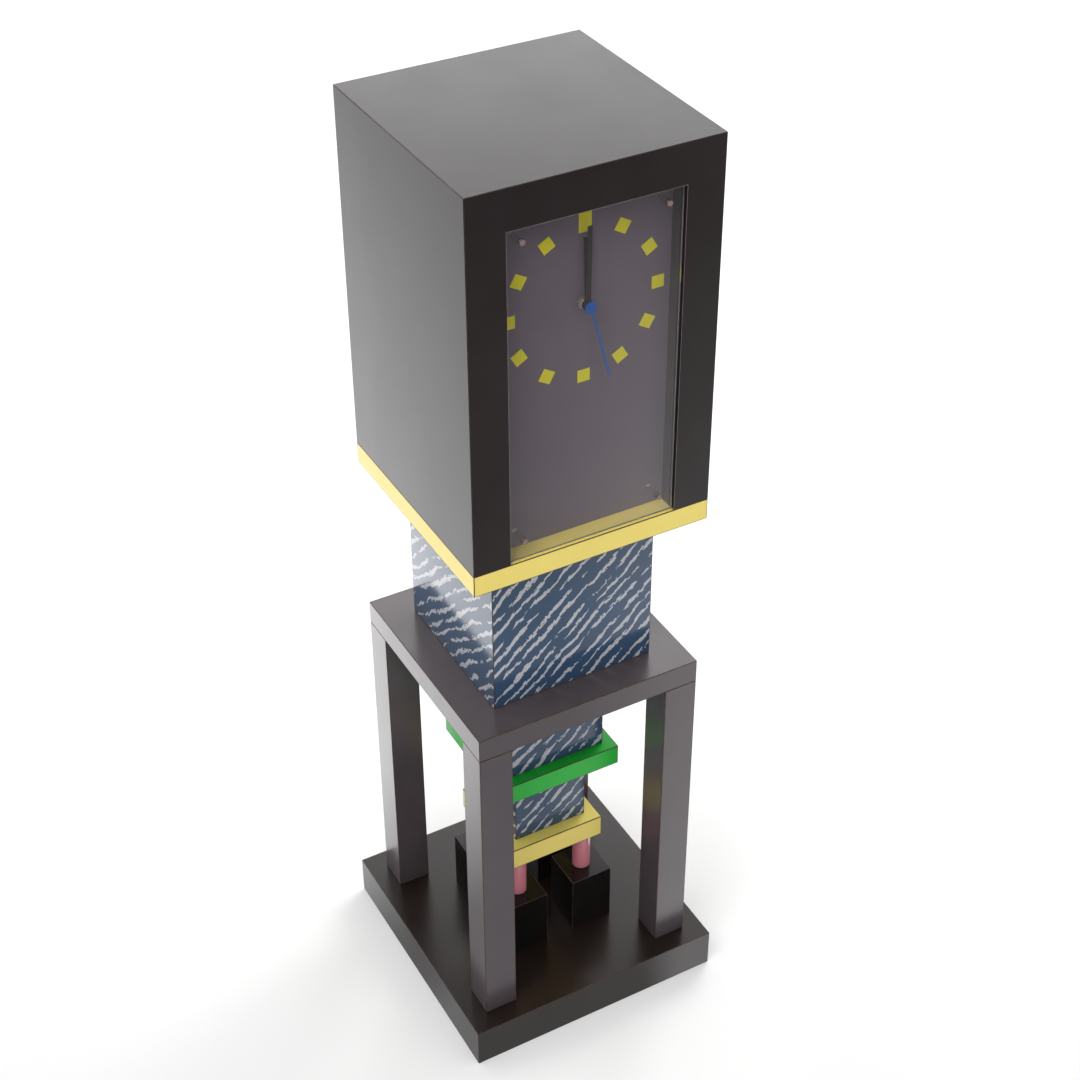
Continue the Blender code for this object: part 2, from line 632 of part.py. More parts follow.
def build_dial():
    """The dial board with its raised hour squares, the glass and its four stand-off pins."""
    width = OPENING_W + 2 * DIAL_LAP
    height = OPENING_H + DIAL_LAP
    middle = Z_HEAD + height / 2
    dial = new_object(
        "dial_panel", box_mesh("dial_panel", (width, DIAL_T, height)), (0, Y_DIAL + DIAL_T / 2, middle),
        material("dial_grey_laminate", DIAL_GREY, 0.35),
    )
    cut_round(dial, "dial_hole", BUSH_R + FIT, 4 * DIAL_T, (0, Y_DIAL, Z_DIAL), "Y", ROUND)
    for hour in range(1, 13):
        turn = math.radians(30 * hour)
        tall = MARKER_12_TALL if hour == 12 else MARKER_SIDE
        reach = MARKER_RING + (tall - MARKER_SIDE) / 2
        at = (reach * math.sin(turn), reach * math.cos(turn))
        name = "hour_square_" + str(hour)
        chip = plate_mesh(name, [rectangle(MARKER_SIDE, tall, at, -turn)], 2 * MARKER_UP)
        combine(dial, new_object(name, chip, (0, Y_DIAL, Z_DIAL)), "UNION")

    width = OPENING_W - 2 * GLASS_GAP
    height = OPENING_H - 2 * GLASS_GAP
    glass_y = Y_FRONT + GLASS_SET_BACK + GLASS_T / 2
    centre = (0.0, glass_y, Z_SLAB_TOP + GLASS_GAP + height / 2)
    clear_glass = material("clear_glass", CLEAR, 0.03, 0.0, 1.0)
    glass = new_object("glass_pane", box_mesh("glass_pane", (width, GLASS_T, height)), centre, clear_glass)
    ease(glass, 0.6 * MM)
    shank = Y_DIAL - FIT - (glass_y + GLASS_T / 2 + FIT)
    neck = GLASS_T + 2 * FIT
    pin_x = OPENING_W / 2 - PIN_IN
    z_low = Z_SLAB_TOP + PIN_UP
    z_high = Z_OPENING - PIN_DOWN
    for name, right, up in (
        ("glass_pin_top_left", -1, z_high), ("glass_pin_top_right", 1, z_high),
        ("glass_pin_bottom_left", -1, z_low), ("glass_pin_bottom_right", 1, z_low),
    ):
        at = (right * pin_x, Y_DIAL - FIT, up)
        cut_round(glass, name + "_hole", PIN_NECK_R + FIT, 4 * GLASS_T, (at[0], glass_y, at[2]), "Y")
        total = shank + neck + PIN_CAP_T
        cap_r = PIN_SHANK_R
        profile = [
            (0.0, total), (0.85 * cap_r, total), (cap_r, total - 0.4 * PIN_CAP_T), (cap_r, shank + neck),
            (PIN_NECK_R, shank + neck), (PIN_NECK_R, shank), (PIN_SHANK_R, shank), (PIN_SHANK_R, 0.0), (0.0, 0.0),
        ]
        turned(name, profile, at, material("clear_acrylic_" + name, (0.80, 0.74, 0.72), 0.08, 0.0, 0.9), "Y")


# ---------------------------------------------------------------- hands

def clockwise(degrees):
    """Rotation about +Y that turns a piece clockwise as seen from the front."""
    return (0.0, math.radians(degrees), 0.0)


def hand_outline(length, width, hub):
    """Points of a flat bar hand pointing up, with a round hub about the origin."""
    half = width / 2
    start = math.pi / 2 + math.asin(half / hub)
    sweep = 2 * math.pi - 2 * math.asin(half / hub)
    around = [start + sweep * i / ROUND for i in range(ROUND + 1)]
    rim = [(hub * math.cos(t), hub * math.sin(t)) for t in around]
    return rim + [(half, length), (-half, length)]


def build_hands():
    """Hour, minute and second hands."""
    black = material("hour_hand_black", HAND_BLACK, 0.4)
    blue = material("second_hand_blue", HAND_BLUE, 0.4)
    collar_wall = 0.9 * MM
    for name, up, length, width, hub, bore, angle, colour, collar in (
        ("hour_hand", HOUR_HAND_UP, HOUR_HAND_LEN, HAND_W, HUB_R, HOUR_TUBE_OUT + FIT, HOUR_ANGLE,
         black, 0.0),
        ("minute_hand", MINUTE_HAND_UP, MINUTE_HAND_LEN, HAND_W, HUB_R, MINUTE_TUBE_OUT + FIT, MINUTE_ANGLE,
         own(black, "minute_hand_black"), 2.0 * MM),
        ("second_hand", SECOND_HAND_UP, SECOND_HAND_LEN, SECOND_HAND_W, SECOND_HUB_R, SECOND_ARBOR_R + FIT,
         SECOND_ANGLE, blue, 3.0 * MM),
    ):
        at = (0.0, Y_DIAL - up - HAND_T / 2, Z_DIAL)
        mesh = plate_mesh(name, [hand_outline(length, width, hub)], HAND_T)
        made = new_object(name, mesh, at, colour)
        made.rotation_euler = clockwise(angle)
        if collar:
            behind = (0.0, at[1] + collar / 2, Z_DIAL)
            add_round(made, name + "_collar", bore + collar_wall, collar, behind, "Y")
        cut_round(made, name + "_hole", bore, 20 * HAND_T, at, "Y")
        if name == "second_hand":
            cap_t = 1.2 * MM
            front = (0.0, at[1] - HAND_T / 2 - cap_t / 2 + 0.1 * MM, Z_DIAL)
            add_round(made, name + "_cap", 0.35 * hub, cap_t, front, "Y")


# ---------------------------------------------------------------- movement

def gear_outline(teeth, module, phase):
    """Points of a gear with trapezoid teeth; phase is the angle of one tooth in the plate's plane."""
    pitch_r = teeth * module / 2
    root = pitch_r - TOOTH_ROOT * module
    tip = pitch_r + TOOTH_TIP * module
    step = 2 * math.pi / teeth
    points = []
    for i in range(teeth):
        middle = phase + i * step
        for radius, share in (
            (root, -TOOTH_BASE_SHARE), (tip, -TOOTH_TIP_SHARE), (tip, TOOTH_TIP_SHARE), (root, TOOTH_BASE_SHARE),
        ):
            angle = middle + share * step / 2
            points.append((radius * math.cos(angle), radius * math.sin(angle)))
    return points


def meshing_phase(driver_teeth, driver_phase, toward, teeth):
    """Phase of a gear that meshes with a driver, lying from it in a given direction."""
    ahead = (driver_phase - toward) * driver_teeth / (2 * math.pi)
    return toward + math.pi - (ahead + 0.5) * 2 * math.pi / teeth


def gear(name, teeth, module, phase, plane, thickness, centre, colour=None):
    """A gear whose front face lies at a plane behind the case's inner front."""
    mesh = plate_mesh(name, [gear_outline(teeth, module, phase)], thickness)
    at = (centre[0], Y_INNER + plane + thickness / 2, centre[1])
    return new_object(name, mesh, at, colour)


def pinion(target, name, teeth, module, phase, plane, thickness, centre):
    """Adds a pinion, a little wider than the wheel it drives, to an arbor."""
    wide = thickness + 2 * PINION_EXTRA
    combine(target, gear(name, teeth, module, phase, plane - PINION_EXTRA, wide, centre), "UNION")


def arbor(target, name, radius, start, end, centre):
    """Adds a plain arbor between two depths behind the case's inner front."""
    at = (centre[0], Y_INNER + (start + end) / 2, centre[1])
    add_round(target, name, radius, end - start, at, "Y", SMALL_ROUND)


def bore(target, name, radius, centre):
    """Cuts a through hole along an arbor."""
    cut_round(target, name, radius, 4 * CASE_INNER, (centre[0], Y_INNER, centre[1]), "Y", SMALL_ROUND)


def in_front(up):
    """A depth behind the case's inner front for a point in front of the dial."""
    return Y_DIAL - up - Y_INNER


def build_motion_work():
    """Hour wheel, cannon pinion with the minute tube, minute wheel and setting knob."""
    brass = material("hour_wheel_brass", BRASS, 0.35, 1.0)
    toward = math.radians(MINUTE_ARBOR_DEG)
    minute_phase = meshing_phase(CANNON_TEETH, 0.0, toward, MINUTE_TEETH)
    hour_phase = meshing_phase(MINUTE_PINION_TEETH, minute_phase, toward + math.pi, HOUR_TEETH)

    hour = gear("hour_wheel", HOUR_TEETH, MODULE_MOTION, hour_phase, HOUR_PLANE, MOTION_T, CENTRE, brass)
    front = in_front(HOUR_HAND_UP + HAND_T + FIT)
    arbor(hour, "hour_tube", HOUR_TUBE_OUT, front, HOUR_PLANE + MOTION_T, CENTRE)
    bore(hour, "hour_tube_bore", HOUR_TUBE_IN, CENTRE)

    cannon = gear("cannon_pinion", CANNON_TEETH, MODULE_MOTION, 0.0, MINUTE_PLANE, MOTION_T, CENTRE,
                  own(brass, "cannon_brass"))
    front = in_front(MINUTE_HAND_UP + HAND_T + FIT)
    flange = CENTRE_PLANE + WHEEL_T + FIT
    flange_t = 0.3 * MM
    arbor(cannon, "minute_tube", MINUTE_TUBE_OUT, front, flange + flange_t, CENTRE)
    arbor(cannon, "clutch_flange", 2 * MINUTE_TUBE_OUT, flange, flange + flange_t, CENTRE)
    bore(cannon, "minute_tube_bore", MINUTE_TUBE_IN, CENTRE)

    minute = gear("minute_wheel", MINUTE_TEETH, MODULE_MOTION, minute_phase, MINUTE_PLANE, MOTION_T, MINUTE_AT,
                  material("minute_wheel_plastic", PLASTIC_WHITE, 0.4))
    pinion(minute, "minute_pinion", MINUTE_PINION_TEETH, MODULE_MOTION, minute_phase, HOUR_PLANE,
           MINUTE_PLANE - HOUR_PLANE, MINUTE_AT)
    knob_back = 3.0 * MM
    behind = Y_COVER + COVER_T + FIT
    arbor(minute, "minute_arbor", KNOB_ARBOR_R, FIT, behind - Y_INNER + knob_back, MINUTE_AT)

    knob_r = 6 * MM
    knob_t = 5 * MM
    lobes = 18
    ripple = 0.04
    rim = []
    for i in range(4 * lobes):
        turn = 2 * math.pi * i / (4 * lobes)
        radius = knob_r * (1 + ripple * math.cos(lobes * turn))
        rim.append((radius * math.cos(turn), radius * math.sin(turn)))
    at = (MINUTE_AT[0], behind + knob_t / 2, MINUTE_AT[1])
    knob = new_object("setting_knob", plate_mesh("setting_knob", [rim], knob_t), at,
                      material("setting_knob_plastic", PLASTIC_BLACK, 0.45))
    blind = (MINUTE_AT[0], behind, MINUTE_AT[1])
    cut_round(knob, "setting_knob_bore", KNOB_ARBOR_R + FIT, 2 * (knob_back + FIT), blind, "Y")


def build_train():
    """Centre, third, seconds and reduction wheels and the rotor."""
    white = material("centre_wheel_plastic", PLASTIC_WHITE, 0.4)
    toward = math.radians(THIRD_ARBOR_DEG)
    centre = gear("centre_wheel", CENTRE_TEETH, MODULE_CENTRE, 0.0, CENTRE_PLANE, WHEEL_T, CENTRE, white)
    bore(centre, "centre_wheel_bore", MINUTE_TUBE_OUT + FIT, CENTRE)

    third_phase = meshing_phase(CENTRE_TEETH, 0.0, toward, THIRD_PINION_TEETH)
    third = gear("third_wheel", THIRD_TEETH, MODULE_THIRD, third_phase, THIRD_PLANE, WHEEL_T, THIRD_AT,
                 own(white, "third_wheel_plastic"))
    pinion(third, "third_pinion", THIRD_PINION_TEETH, MODULE_CENTRE, third_phase, CENTRE_PLANE, WHEEL_T,
           THIRD_AT)
    arbor(third, "third_arbor", ARBOR_R, FIT, LAST, THIRD_AT)

    second_phase = meshing_phase(THIRD_TEETH, third_phase, toward + math.pi, SECOND_PINION_TEETH)
    second = gear("seconds_wheel", SECOND_TEETH, MODULE_SECOND, second_phase, SECOND_PLANE, WHEEL_T, CENTRE,
                  own(white, "seconds_wheel_plastic"))
    pinion(second, "seconds_pinion", SECOND_PINION_TEETH, MODULE_THIRD, second_phase, THIRD_PLANE, WHEEL_T,
           CENTRE)
    front = in_front(SECOND_HAND_UP + HAND_T - FIT)
    arbor(second, "seconds_arbor", SECOND_ARBOR_R, front, LAST, CENTRE)

    toward = math.radians(REDUCTION_ARBOR_DEG)
    reduction_phase = meshing_phase(SECOND_TEETH, second_phase, toward, REDUCTION_PINION_TEETH)
    reduction = gear("reduction_wheel", REDUCTION_TEETH, MODULE_ROTOR, reduction_phase, REDUCTION_PLANE,
                     WHEEL_T, REDUCTION_AT, own(white, "reduction_wheel_plastic"))
    pinion(reduction, "reduction_pinion", REDUCTION_PINION_TEETH, MODULE_SECOND, reduction_phase, SECOND_PLANE,
           WHEEL_T, REDUCTION_AT)
    bridge_back = BRIDGE_PLANE + WHEEL_T + FIT
    arbor(reduction, "reduction_arbor", ARBOR_R, bridge_back, LAST, REDUCTION_AT)

    toward = math.radians(ROTOR_ARBOR_DEG)
    rotor_phase = meshing_phase(REDUCTION_TEETH, reduction_phase, toward, ROTOR_PINION_TEETH)
    at = (ROTOR_AT[0], Y_INNER + ROTOR_PLANE + ROTOR_T / 2, ROTOR_AT[1])
    rotor = new_object("rotor", cylinder_mesh("rotor", ROTOR_R, ROTOR_T, ROUND, "Y"), at,
                       material("rotor_magnet", STEEL, 0.3, 1.0))
    pinion(rotor, "rotor_pinion", ROTOR_PINION_TEETH, MODULE_ROTOR, rotor_phase, REDUCTION_PLANE, WHEEL_T,
           ROTOR_AT)
    arbor(rotor, "rotor_arbor", ARBOR_R, bridge_back, LAST, ROTOR_AT)


def build_motor():
    """Train bridge, stator, coil and circuit board."""
    bridge_w = 17.5 * MM
    bridge_h = 15 * MM
    bridge_at = (-2.5 * MM, Z_DIAL + 14 * MM)
    mesh = plate_mesh("train_bridge", [rectangle(bridge_w, bridge_h, bridge_at)], WHEEL_T)
    new_object("train_bridge", mesh, (0, Y_INNER + BRIDGE_PLANE + WHEEL_T / 2, 0),
               material("bridge_plastic", PLASTIC_WHITE, 0.45))

    stator_t = 1.0 * MM
    bar = 4.4 * MM
    core = STATOR_CORE
    x_mid = ROTOR_AT[0]
    low = ROTOR_AT[1] - bar / 2
    high = STATOR_TOP
    stator_w = STATOR_W
    stator_y = Y_INNER + STATOR_PLANE + stator_t / 2
    frame_h = high - low
    outer = rectangle(stator_w, frame_h, (x_mid, (low + high) / 2))
    inner_h = frame_h - bar - core
    window = rectangle(stator_w - 2 * bar * 0.7, inner_h, (x_mid, low + bar + inner_h / 2))
    mesh = plate_mesh("stator", [outer, window], stator_t)
    stator = new_object("stator", mesh, (0, stator_y, 0), material("stator_steel", STEEL, 0.35, 1.0))
    pole = (ROTOR_AT[0], stator_y, ROTOR_AT[1])
    add_round(stator, "stator_pole", ROTOR_R + 2.2 * MM, stator_t, pole, "Y", ROUND)
    cut_round(stator, "stator_bore", ROTOR_R + 0.4 * MM, 4 * stator_t, pole, "Y", ROUND)

    coil_len = 14 * MM
    coil_r = 3.1 * MM
    core_z = high - core / 2
    mesh = cylinder_mesh("coil", coil_r, coil_len, ROUND, "X")
    coil = new_object("coil", mesh, (x_mid, stator_y, core_z), material("coil_copper", COPPER, 0.35, 1.0))
    cut_box(coil, "coil_core", (2 * coil_len, stator_t + 2 * FIT, core + 2 * FIT), (x_mid, stator_y, core_z))
    board_w = 16 * MM
    board_h = 8 * MM
    board_t = 0.8 * MM
    board_top = Z_DIAL + CASE_UP - CASE_WALL - FIT
    at = (15.5 * MM, Y_INNER + STATOR_PLANE + board_t / 2, board_top - board_h / 2)
    circuit = new_object("circuit_board", box_mesh("circuit_board", (board_w, board_t, board_h)), at,
                         material("board_green", BOARD_GREEN, 0.4))
    chip = 1.4 * MM
    add_box(circuit, "board_chip", (4.5 * MM, chip, 3.6 * MM), (at[0] - 3 * MM, at[1] + chip / 2, at[2]))
    add_box(circuit, "board_crystal", (5.5 * MM, chip, 2 * MM), (at[0] + 4 * MM, at[1] + chip / 2, at[2]))


def build_case():
    """Movement case with threaded bush, cover, washer, nut, cell and contacts."""
    width = 2 * CASE_HALF_W
    height = CASE_UP + CASE_DOWN
    mid_z = Z_DIAL + (CASE_UP - CASE_DOWN) / 2
    depth = CASE_FRONT_T + CASE_INNER
    case = new_object("movement_case", box_mesh("movement_case", (width, depth, height)),
                      (0, Y_CASE + depth / 2, mid_z), material("movement_black", PLASTIC_BLACK, 0.5))
    ease(case, 0.6 * MM)
    cell_z = Z_DIAL - CELL_DOWN
    shelf = cell_z + CELL_R + FIT + SHELF_T / 2
    pocket_y = Y_INNER + CASE_INNER
    top_h = Z_DIAL + CASE_UP - CASE_WALL - (shelf + SHELF_T / 2)
    size = (width - 2 * CASE_WALL, 2 * CASE_INNER, top_h)
    cut_box(case, "case_train_bay", size, (0, pocket_y, shelf + SHELF_T / 2 + top_h / 2))
    low = Z_DIAL - CASE_DOWN + CASE_WALL
    cell_h = shelf - SHELF_T / 2 - low
    size = (width - 2 * CASE_WALL, 2 * CASE_INNER, cell_h)
    cut_box(case, "case_cell_bay", size, (0, pocket_y, low + cell_h / 2))
    bush_front = Y_DIAL - (FIT + WASHER_T + FIT + NUT_T + BUSH_PROUD)
    bush_len = Y_INNER - bush_front - CASE_FRONT_T / 2
    at = (0, bush_front + bush_len / 2, Z_DIAL)
    add_round(case, "case_bush", BUSH_R, bush_len, at, "Y", ROUND)
    post_r = 1.2 * MM
    corner_in = 1.6 * MM
    bridge_z = Z_DIAL + 19 * MM
    stator_z = STATOR_TOP - STATOR_CORE / 2
    stator_left = ROTOR_AT[0] - STATOR_W / 2 + corner_in
    stator_right = ROTOR_AT[0] + STATOR_W / 2 - corner_in
    for name, across, up, plane in (
        ("bridge_post_left", -9 * MM, bridge_z, BRIDGE_PLANE),
        ("bridge_post_right", 4 * MM, bridge_z, BRIDGE_PLANE),
        ("stator_post_left", stator_left, stator_z, STATOR_PLANE),
        ("stator_post_right", stator_right, stator_z, STATOR_PLANE),
    ):
        post_len = plane - FIT + CASE_FRONT_T / 2
        at = (across, Y_INNER - CASE_FRONT_T / 2 + post_len / 2, up)
        add_round(case, name, post_r, post_len, at, "Y")
    cut_round(case, "case_bush_bore", BUSH_BORE, 6 * CASE_INNER, (0, Y_CASE, Z_DIAL), "Y", ROUND)

    size = (width, COVER_T, height)
    cover = new_object("movement_cover", box_mesh("movement_cover", size), (0, Y_COVER + COVER_T / 2, mid_z),
                       material("cover_black", PLASTIC_BLACK, 0.55))
    ease(cover, 0.3 * MM)
    cell_hole = (CELL_LEN + CELL_NUB + 2 * MM, 6 * COVER_T, 2 * CELL_R + 2 * FIT)
    cut_box(cover, "cover_cell_window", cell_hole, (0, Y_COVER, cell_z))
    hole = KNOB_ARBOR_R + FIT
    cut_round(cover, "cover_arbor_hole", hole, 6 * COVER_T, (MINUTE_AT[0], Y_COVER, MINUTE_AT[1]), "Y")

    washer = plate_mesh("dial_washer", [circle(WASHER_R, ROUND), circle(BUSH_R + FIT, ROUND)], WASHER_T)
    new_object("dial_washer", washer, (0, Y_DIAL - FIT - WASHER_T / 2, Z_DIAL),
               material("washer_nickel", NICKEL, 0.3, 1.0))
    corner = NUT_FLATS / math.sqrt(3.0)
    nut = plate_mesh("dial_nut", [circle(corner, 6), circle(BUSH_R + FIT, ROUND)], NUT_T)
    made = new_object("dial_nut", nut, (0, Y_DIAL - FIT - WASHER_T - FIT - NUT_T / 2, Z_DIAL),
                      material("nut_nickel", NICKEL, 0.28, 1.0))
    ease(made, 0.3 * MM)

    cell_y = Y_INNER + CASE_INNER - FIT - CELL_R
    cell = new_object("battery_cell", cylinder_mesh("battery_cell", CELL_R, CELL_LEN, ROUND, "X"),
                      (-CELL_NUB / 2, cell_y, cell_z), material("cell_blue", CELL_BLUE, 0.35))
    ease(cell, 0.5 * MM)
    nub = ((CELL_LEN - CELL_NUB) / 2, cell_y, cell_z)
    add_round(cell, "cell_nub", 2.7 * MM, 2 * CELL_NUB, nub, "X")
    plate_t = 0.6 * MM
    wall = CASE_HALF_W - CASE_WALL
    tongue_w = 6 * MM
    for name, side in (("contact_positive", 1), ("contact_negative", -1)):
        at = (side * (wall - FIT - plate_t / 2), cell_y, cell_z)
        size = (plate_t, 2 * CELL_R - 4 * MM, 2 * CELL_R - 2 * MM)
        made = new_object(name, box_mesh(name, size), at, material(name + "_steel", STEEL, 0.3, 1.0))
        inner_face = wall - FIT - plate_t
        reach = inner_face - (CELL_LEN + CELL_NUB) / 2 - FIT
        tongue = (side * (inner_face - reach / 2 + plate_t / 4), cell_y, cell_z)
        add_round(made, name + "_tongue", tongue_w / 2, reach + plate_t / 2, tongue, "X")


build_pedestal()
build_head()
build_door()
build_dial()
build_hands()
build_motion_work()
build_train()
build_motor()
build_case()
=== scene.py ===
import json
import logging
import math
from dataclasses import dataclass
from enum import Enum
from functools import partial, reduce

import bmesh
import bpy
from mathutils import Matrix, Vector

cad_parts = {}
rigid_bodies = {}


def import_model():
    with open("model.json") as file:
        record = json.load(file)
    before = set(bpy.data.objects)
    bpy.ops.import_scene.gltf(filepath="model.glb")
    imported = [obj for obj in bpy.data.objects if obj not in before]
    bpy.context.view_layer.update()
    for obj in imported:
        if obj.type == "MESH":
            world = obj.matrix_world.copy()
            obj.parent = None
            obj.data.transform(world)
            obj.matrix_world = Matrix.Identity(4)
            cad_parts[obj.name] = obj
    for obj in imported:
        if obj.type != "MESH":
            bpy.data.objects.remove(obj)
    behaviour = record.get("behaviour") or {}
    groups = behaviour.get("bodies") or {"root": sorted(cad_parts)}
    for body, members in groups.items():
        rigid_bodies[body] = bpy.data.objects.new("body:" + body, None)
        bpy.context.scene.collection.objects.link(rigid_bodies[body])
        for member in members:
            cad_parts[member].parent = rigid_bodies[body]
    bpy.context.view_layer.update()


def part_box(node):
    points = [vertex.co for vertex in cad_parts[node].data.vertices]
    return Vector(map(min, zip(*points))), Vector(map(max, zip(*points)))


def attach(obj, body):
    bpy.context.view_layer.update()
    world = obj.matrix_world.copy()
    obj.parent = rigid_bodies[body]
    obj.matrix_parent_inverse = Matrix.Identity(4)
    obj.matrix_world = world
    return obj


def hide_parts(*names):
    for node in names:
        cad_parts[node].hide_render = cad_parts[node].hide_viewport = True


Piece = bpy.types.Object
Form = bmesh.types.BMesh
Material = bpy.types.Material
Socket = bpy.types.NodeSocket
Triple = tuple[float, float, float]
Colour = tuple[float, float, float]
Range = tuple[float, float, float, float]
Pairs = tuple[tuple[float, float], ...]
Spots = list[tuple[float, float]]

LOG = logging.getLogger("floor_clock")
MM = 0.001
TINY = 0.001 * MM
ROUND_STEPS = 64
RIM_TURN = 1.0  # radians

DUST = (0.30, 0.29, 0.28)

# Parts of a noise's range, from most of its values to all.
MIDDLE = (0.3, 0.7)
BROAD = (0.25, 0.75)
WHOLE = (0.2, 0.8)


def paint(red: float, green: float, blue: float) -> Colour:
    """Turns a paint chart's values, each from 0 to 255, into linear light."""
    shares = [part / 255.0 for part in (red, green, blue)]
    return tuple(s / 12.92 if s <= 0.04045 else ((s + 0.055) / 1.055) ** 2.4 for s in shares)


class Body(Enum):
    """Bodies of the clock's mechanism that a piece can ride on."""

    CASE = "case"
    DOOR = "rear_door"
    HOUR = "hour_hand"
    MINUTE = "minute_hand"
    SECOND = "second_hand"
    SETTING = "setting_knob"
    CENTRE = "centre_wheel"
    THIRD = "third_wheel"
    REDUCTION = "reduction_wheel"
    ROTOR = "rotor"
    CELL = "battery"


# ---- node graphs

class Graph:
    """The node graph of one material or world, with short calls for the nodes that the finishes share."""

    def __init__(self, name: str, world: bool = False) -> None:
        """Starts an empty graph.

        Args:
            name: Name of the new material or world.
            world: Makes a world in place of a material.
        """
        self.world = world
        self.owner = (bpy.data.worlds if world else bpy.data.materials).new(name)
        self.owner.use_nodes = True
        self.nodes = self.owner.node_tree.nodes
        self.links = self.owner.node_tree.links
        self.nodes.clear()

    def feed(self, socket: Socket, value: object) -> None:
        """Links a socket to another, or sets its own value.

        Args:
            socket: The input to fill.
            value: A socket to link, a plain value or colour to set, or None to leave it alone.
        """
        if isinstance(value, bpy.types.NodeSocket):
            self.links.new(value, socket)
        elif value is not None:
            socket.default_value = (*value, 1.0) if socket.type == "RGBA" else value

    def node(self, kind: str, *values: object, **modes: str) -> bpy.types.Node:
        """Adds a node and fills its first inputs.

        Args:
            kind: The node's type, without the word that they all start with.
            values: Values or sockets for its inputs, in their order.
            modes: The node's own choices by name, such as a Math node's operation.

        Returns:
            The new node.
        """
        node = self.nodes.new("ShaderNode" + kind)
        for name, mode in modes.items():
            setattr(node, name, mode)
        for socket, value in zip(node.inputs, values):
            self.feed(socket, value)
        return node

    def fill(self, node: bpy.types.Node, **values: object) -> Socket:
        """Fills a node's inputs by their names, with _ for each space.

        Args:
            node: The node.
            values: Values or sockets by name.

        Returns:
            The node's first output.
        """
        for name, value in values.items():
            self.feed(node.inputs[name.replace("_", " ")], value)
        return node.outputs[0]

    def place(self) -> Socket:
        """Position on the piece, in metres of the clock's own frame."""
        return self.node("TexCoord").outputs["Object"]

    def facing(self) -> Socket:
        """Direction that the surface faces, in the clock's own frame."""
        return self.node("TexCoord").outputs["Normal"]

    def ray(self, kind: str) -> Socket:
        """Whether the ray is of a kind, such as Is Shadow Ray."""
        return self.node("LightPath").outputs[kind]

    def split(self, vector: Socket) -> tuple[Socket, ...]:
        """Splits a vector into its three parts."""
        return tuple(self.node("SeparateXYZ", vector).outputs)

    def join(self, x: object, y: object, z: object) -> Socket:
        """Joins three parts into one vector."""
        return self.node("CombineXYZ", x, y, z).outputs[0]

    def calc(self, operation: str, a: object, b: object = None) -> Socket:
        """Works out one number by a Math node's operation, from one or two values or sockets."""
        return self.node("Math", a, b, operation=operation).outputs[0]

    def plus(self, a: object, b: object) -> Socket:
        """Adds two numbers."""
        return self.calc("ADD", a, b)

    def times(self, *factors: object) -> Socket:
        """Multiplies numbers, one after the other."""
        return reduce(partial(self.calc, "MULTIPLY"), factors)

    def stretched(self, vector: Socket, scale: Triple, turn: Triple = (0.0, 0.0, 0.0)) -> Socket:
        """Stretches a position along each axis, then turns it by radians about each."""
        return self.node("Mapping", vector, None, turn, scale).outputs[0]

    def noise(self, vector: Socket, scale: float, detail: float = 2.0, rough: float = 0.5,
              twist: float = 0.0) -> Socket:
        """Smooth random values.

        Args:
            vector: Position to read.
            scale: Repeats per metre.
            detail: Finer layers added.
            rough: Strength of the finer layers.
            twist: How much the pattern is distorted.

        Returns:
            A socket with values about 0.5.
        """
        node = self.node("TexNoise", vector)
        return self.fill(node, Scale=scale, Detail=detail, Roughness=rough, Distortion=twist)

    def span(self, value: object, low: float, high: float, start: float = 0.0, end: float = 1.0,
             smooth: bool = False) -> Socket:
        """Maps a value from one range to another, held at its ends.

        Args:
            value: The value or socket.
            low: Value that gives start.
            high: Value that gives end.
            start: Result at low.
            end: Result at high.
            smooth: Eases both ends.

        Returns:
            The mapped value's socket.
        """
        mode = "SMOOTHSTEP" if smooth else "LINEAR"
        return self.node("MapRange", value, low, high, start, end, interpolation_type=mode).outputs[0]

    def tint(self, share: object, a: object, b: object) -> Socket:
        """Mixes two colours by the share of the second one; the node's inputs for other types are skipped."""
        return self.node("Mix", share, *(None,) * 5, a, b, data_type="RGBA").outputs[2]

    def bump(self, height: Socket, depth: float, strength: float = 1.0, under: Socket | None = None) -> Socket:
        """Fine relief of a depth in metres, over any relief under it; strength is the share that shows."""
        return self.fill(self.node("Bump"), Height=height, Normal=under, Distance=depth, Strength=strength)

    def coat(self, colour: object, roughness: object, normal: Socket | None = None, **values: object) -> Socket:
        """The surface shader; its further inputs go by name."""
        return self.fill(self.node("BsdfPrincipled", colour), Roughness=roughness, Normal=normal, **values)

    def light(self, strength: object) -> Socket:
        """White light of a strength, given as a value or a socket."""
        return self.node("Background" if self.world else "Emission", (1.0, 1.0, 1.0), strength).outputs[0]

    def blend(self, share: object, a: Socket, b: Socket) -> Socket:
        """Mixes two shaders by the share of the second one."""
        return self.node("MixShader", share, a, b).outputs[0]

    def close(self, shader: Socket) -> bpy.types.ID:
        """Closes the graph with its shader, and hands out the finished material or world."""
        self.links.new(shader, self.node("OutputWorld" if self.world else "OutputMaterial").inputs["Surface"])
        return self.owner


# ---- finishes

def shaded(colour: Colour, share: float, lift: float = 0.0) -> Colour:
    """A colour made darker or paler, with no part over 1."""
    return tuple(min(1.0, part * share + lift) for part in colour)


@dataclass(frozen=True)
class Finish:
    """A finish that makes its material once and hands the same one out again."""

    name: str

    def material(self) -> Material:
        """The finish's material, made at its first use."""
        return bpy.data.materials.get(self.name) or self.make()

    def make(self) -> Material:
        """Makes the material; each finish has its own way."""
        raise NotImplementedError


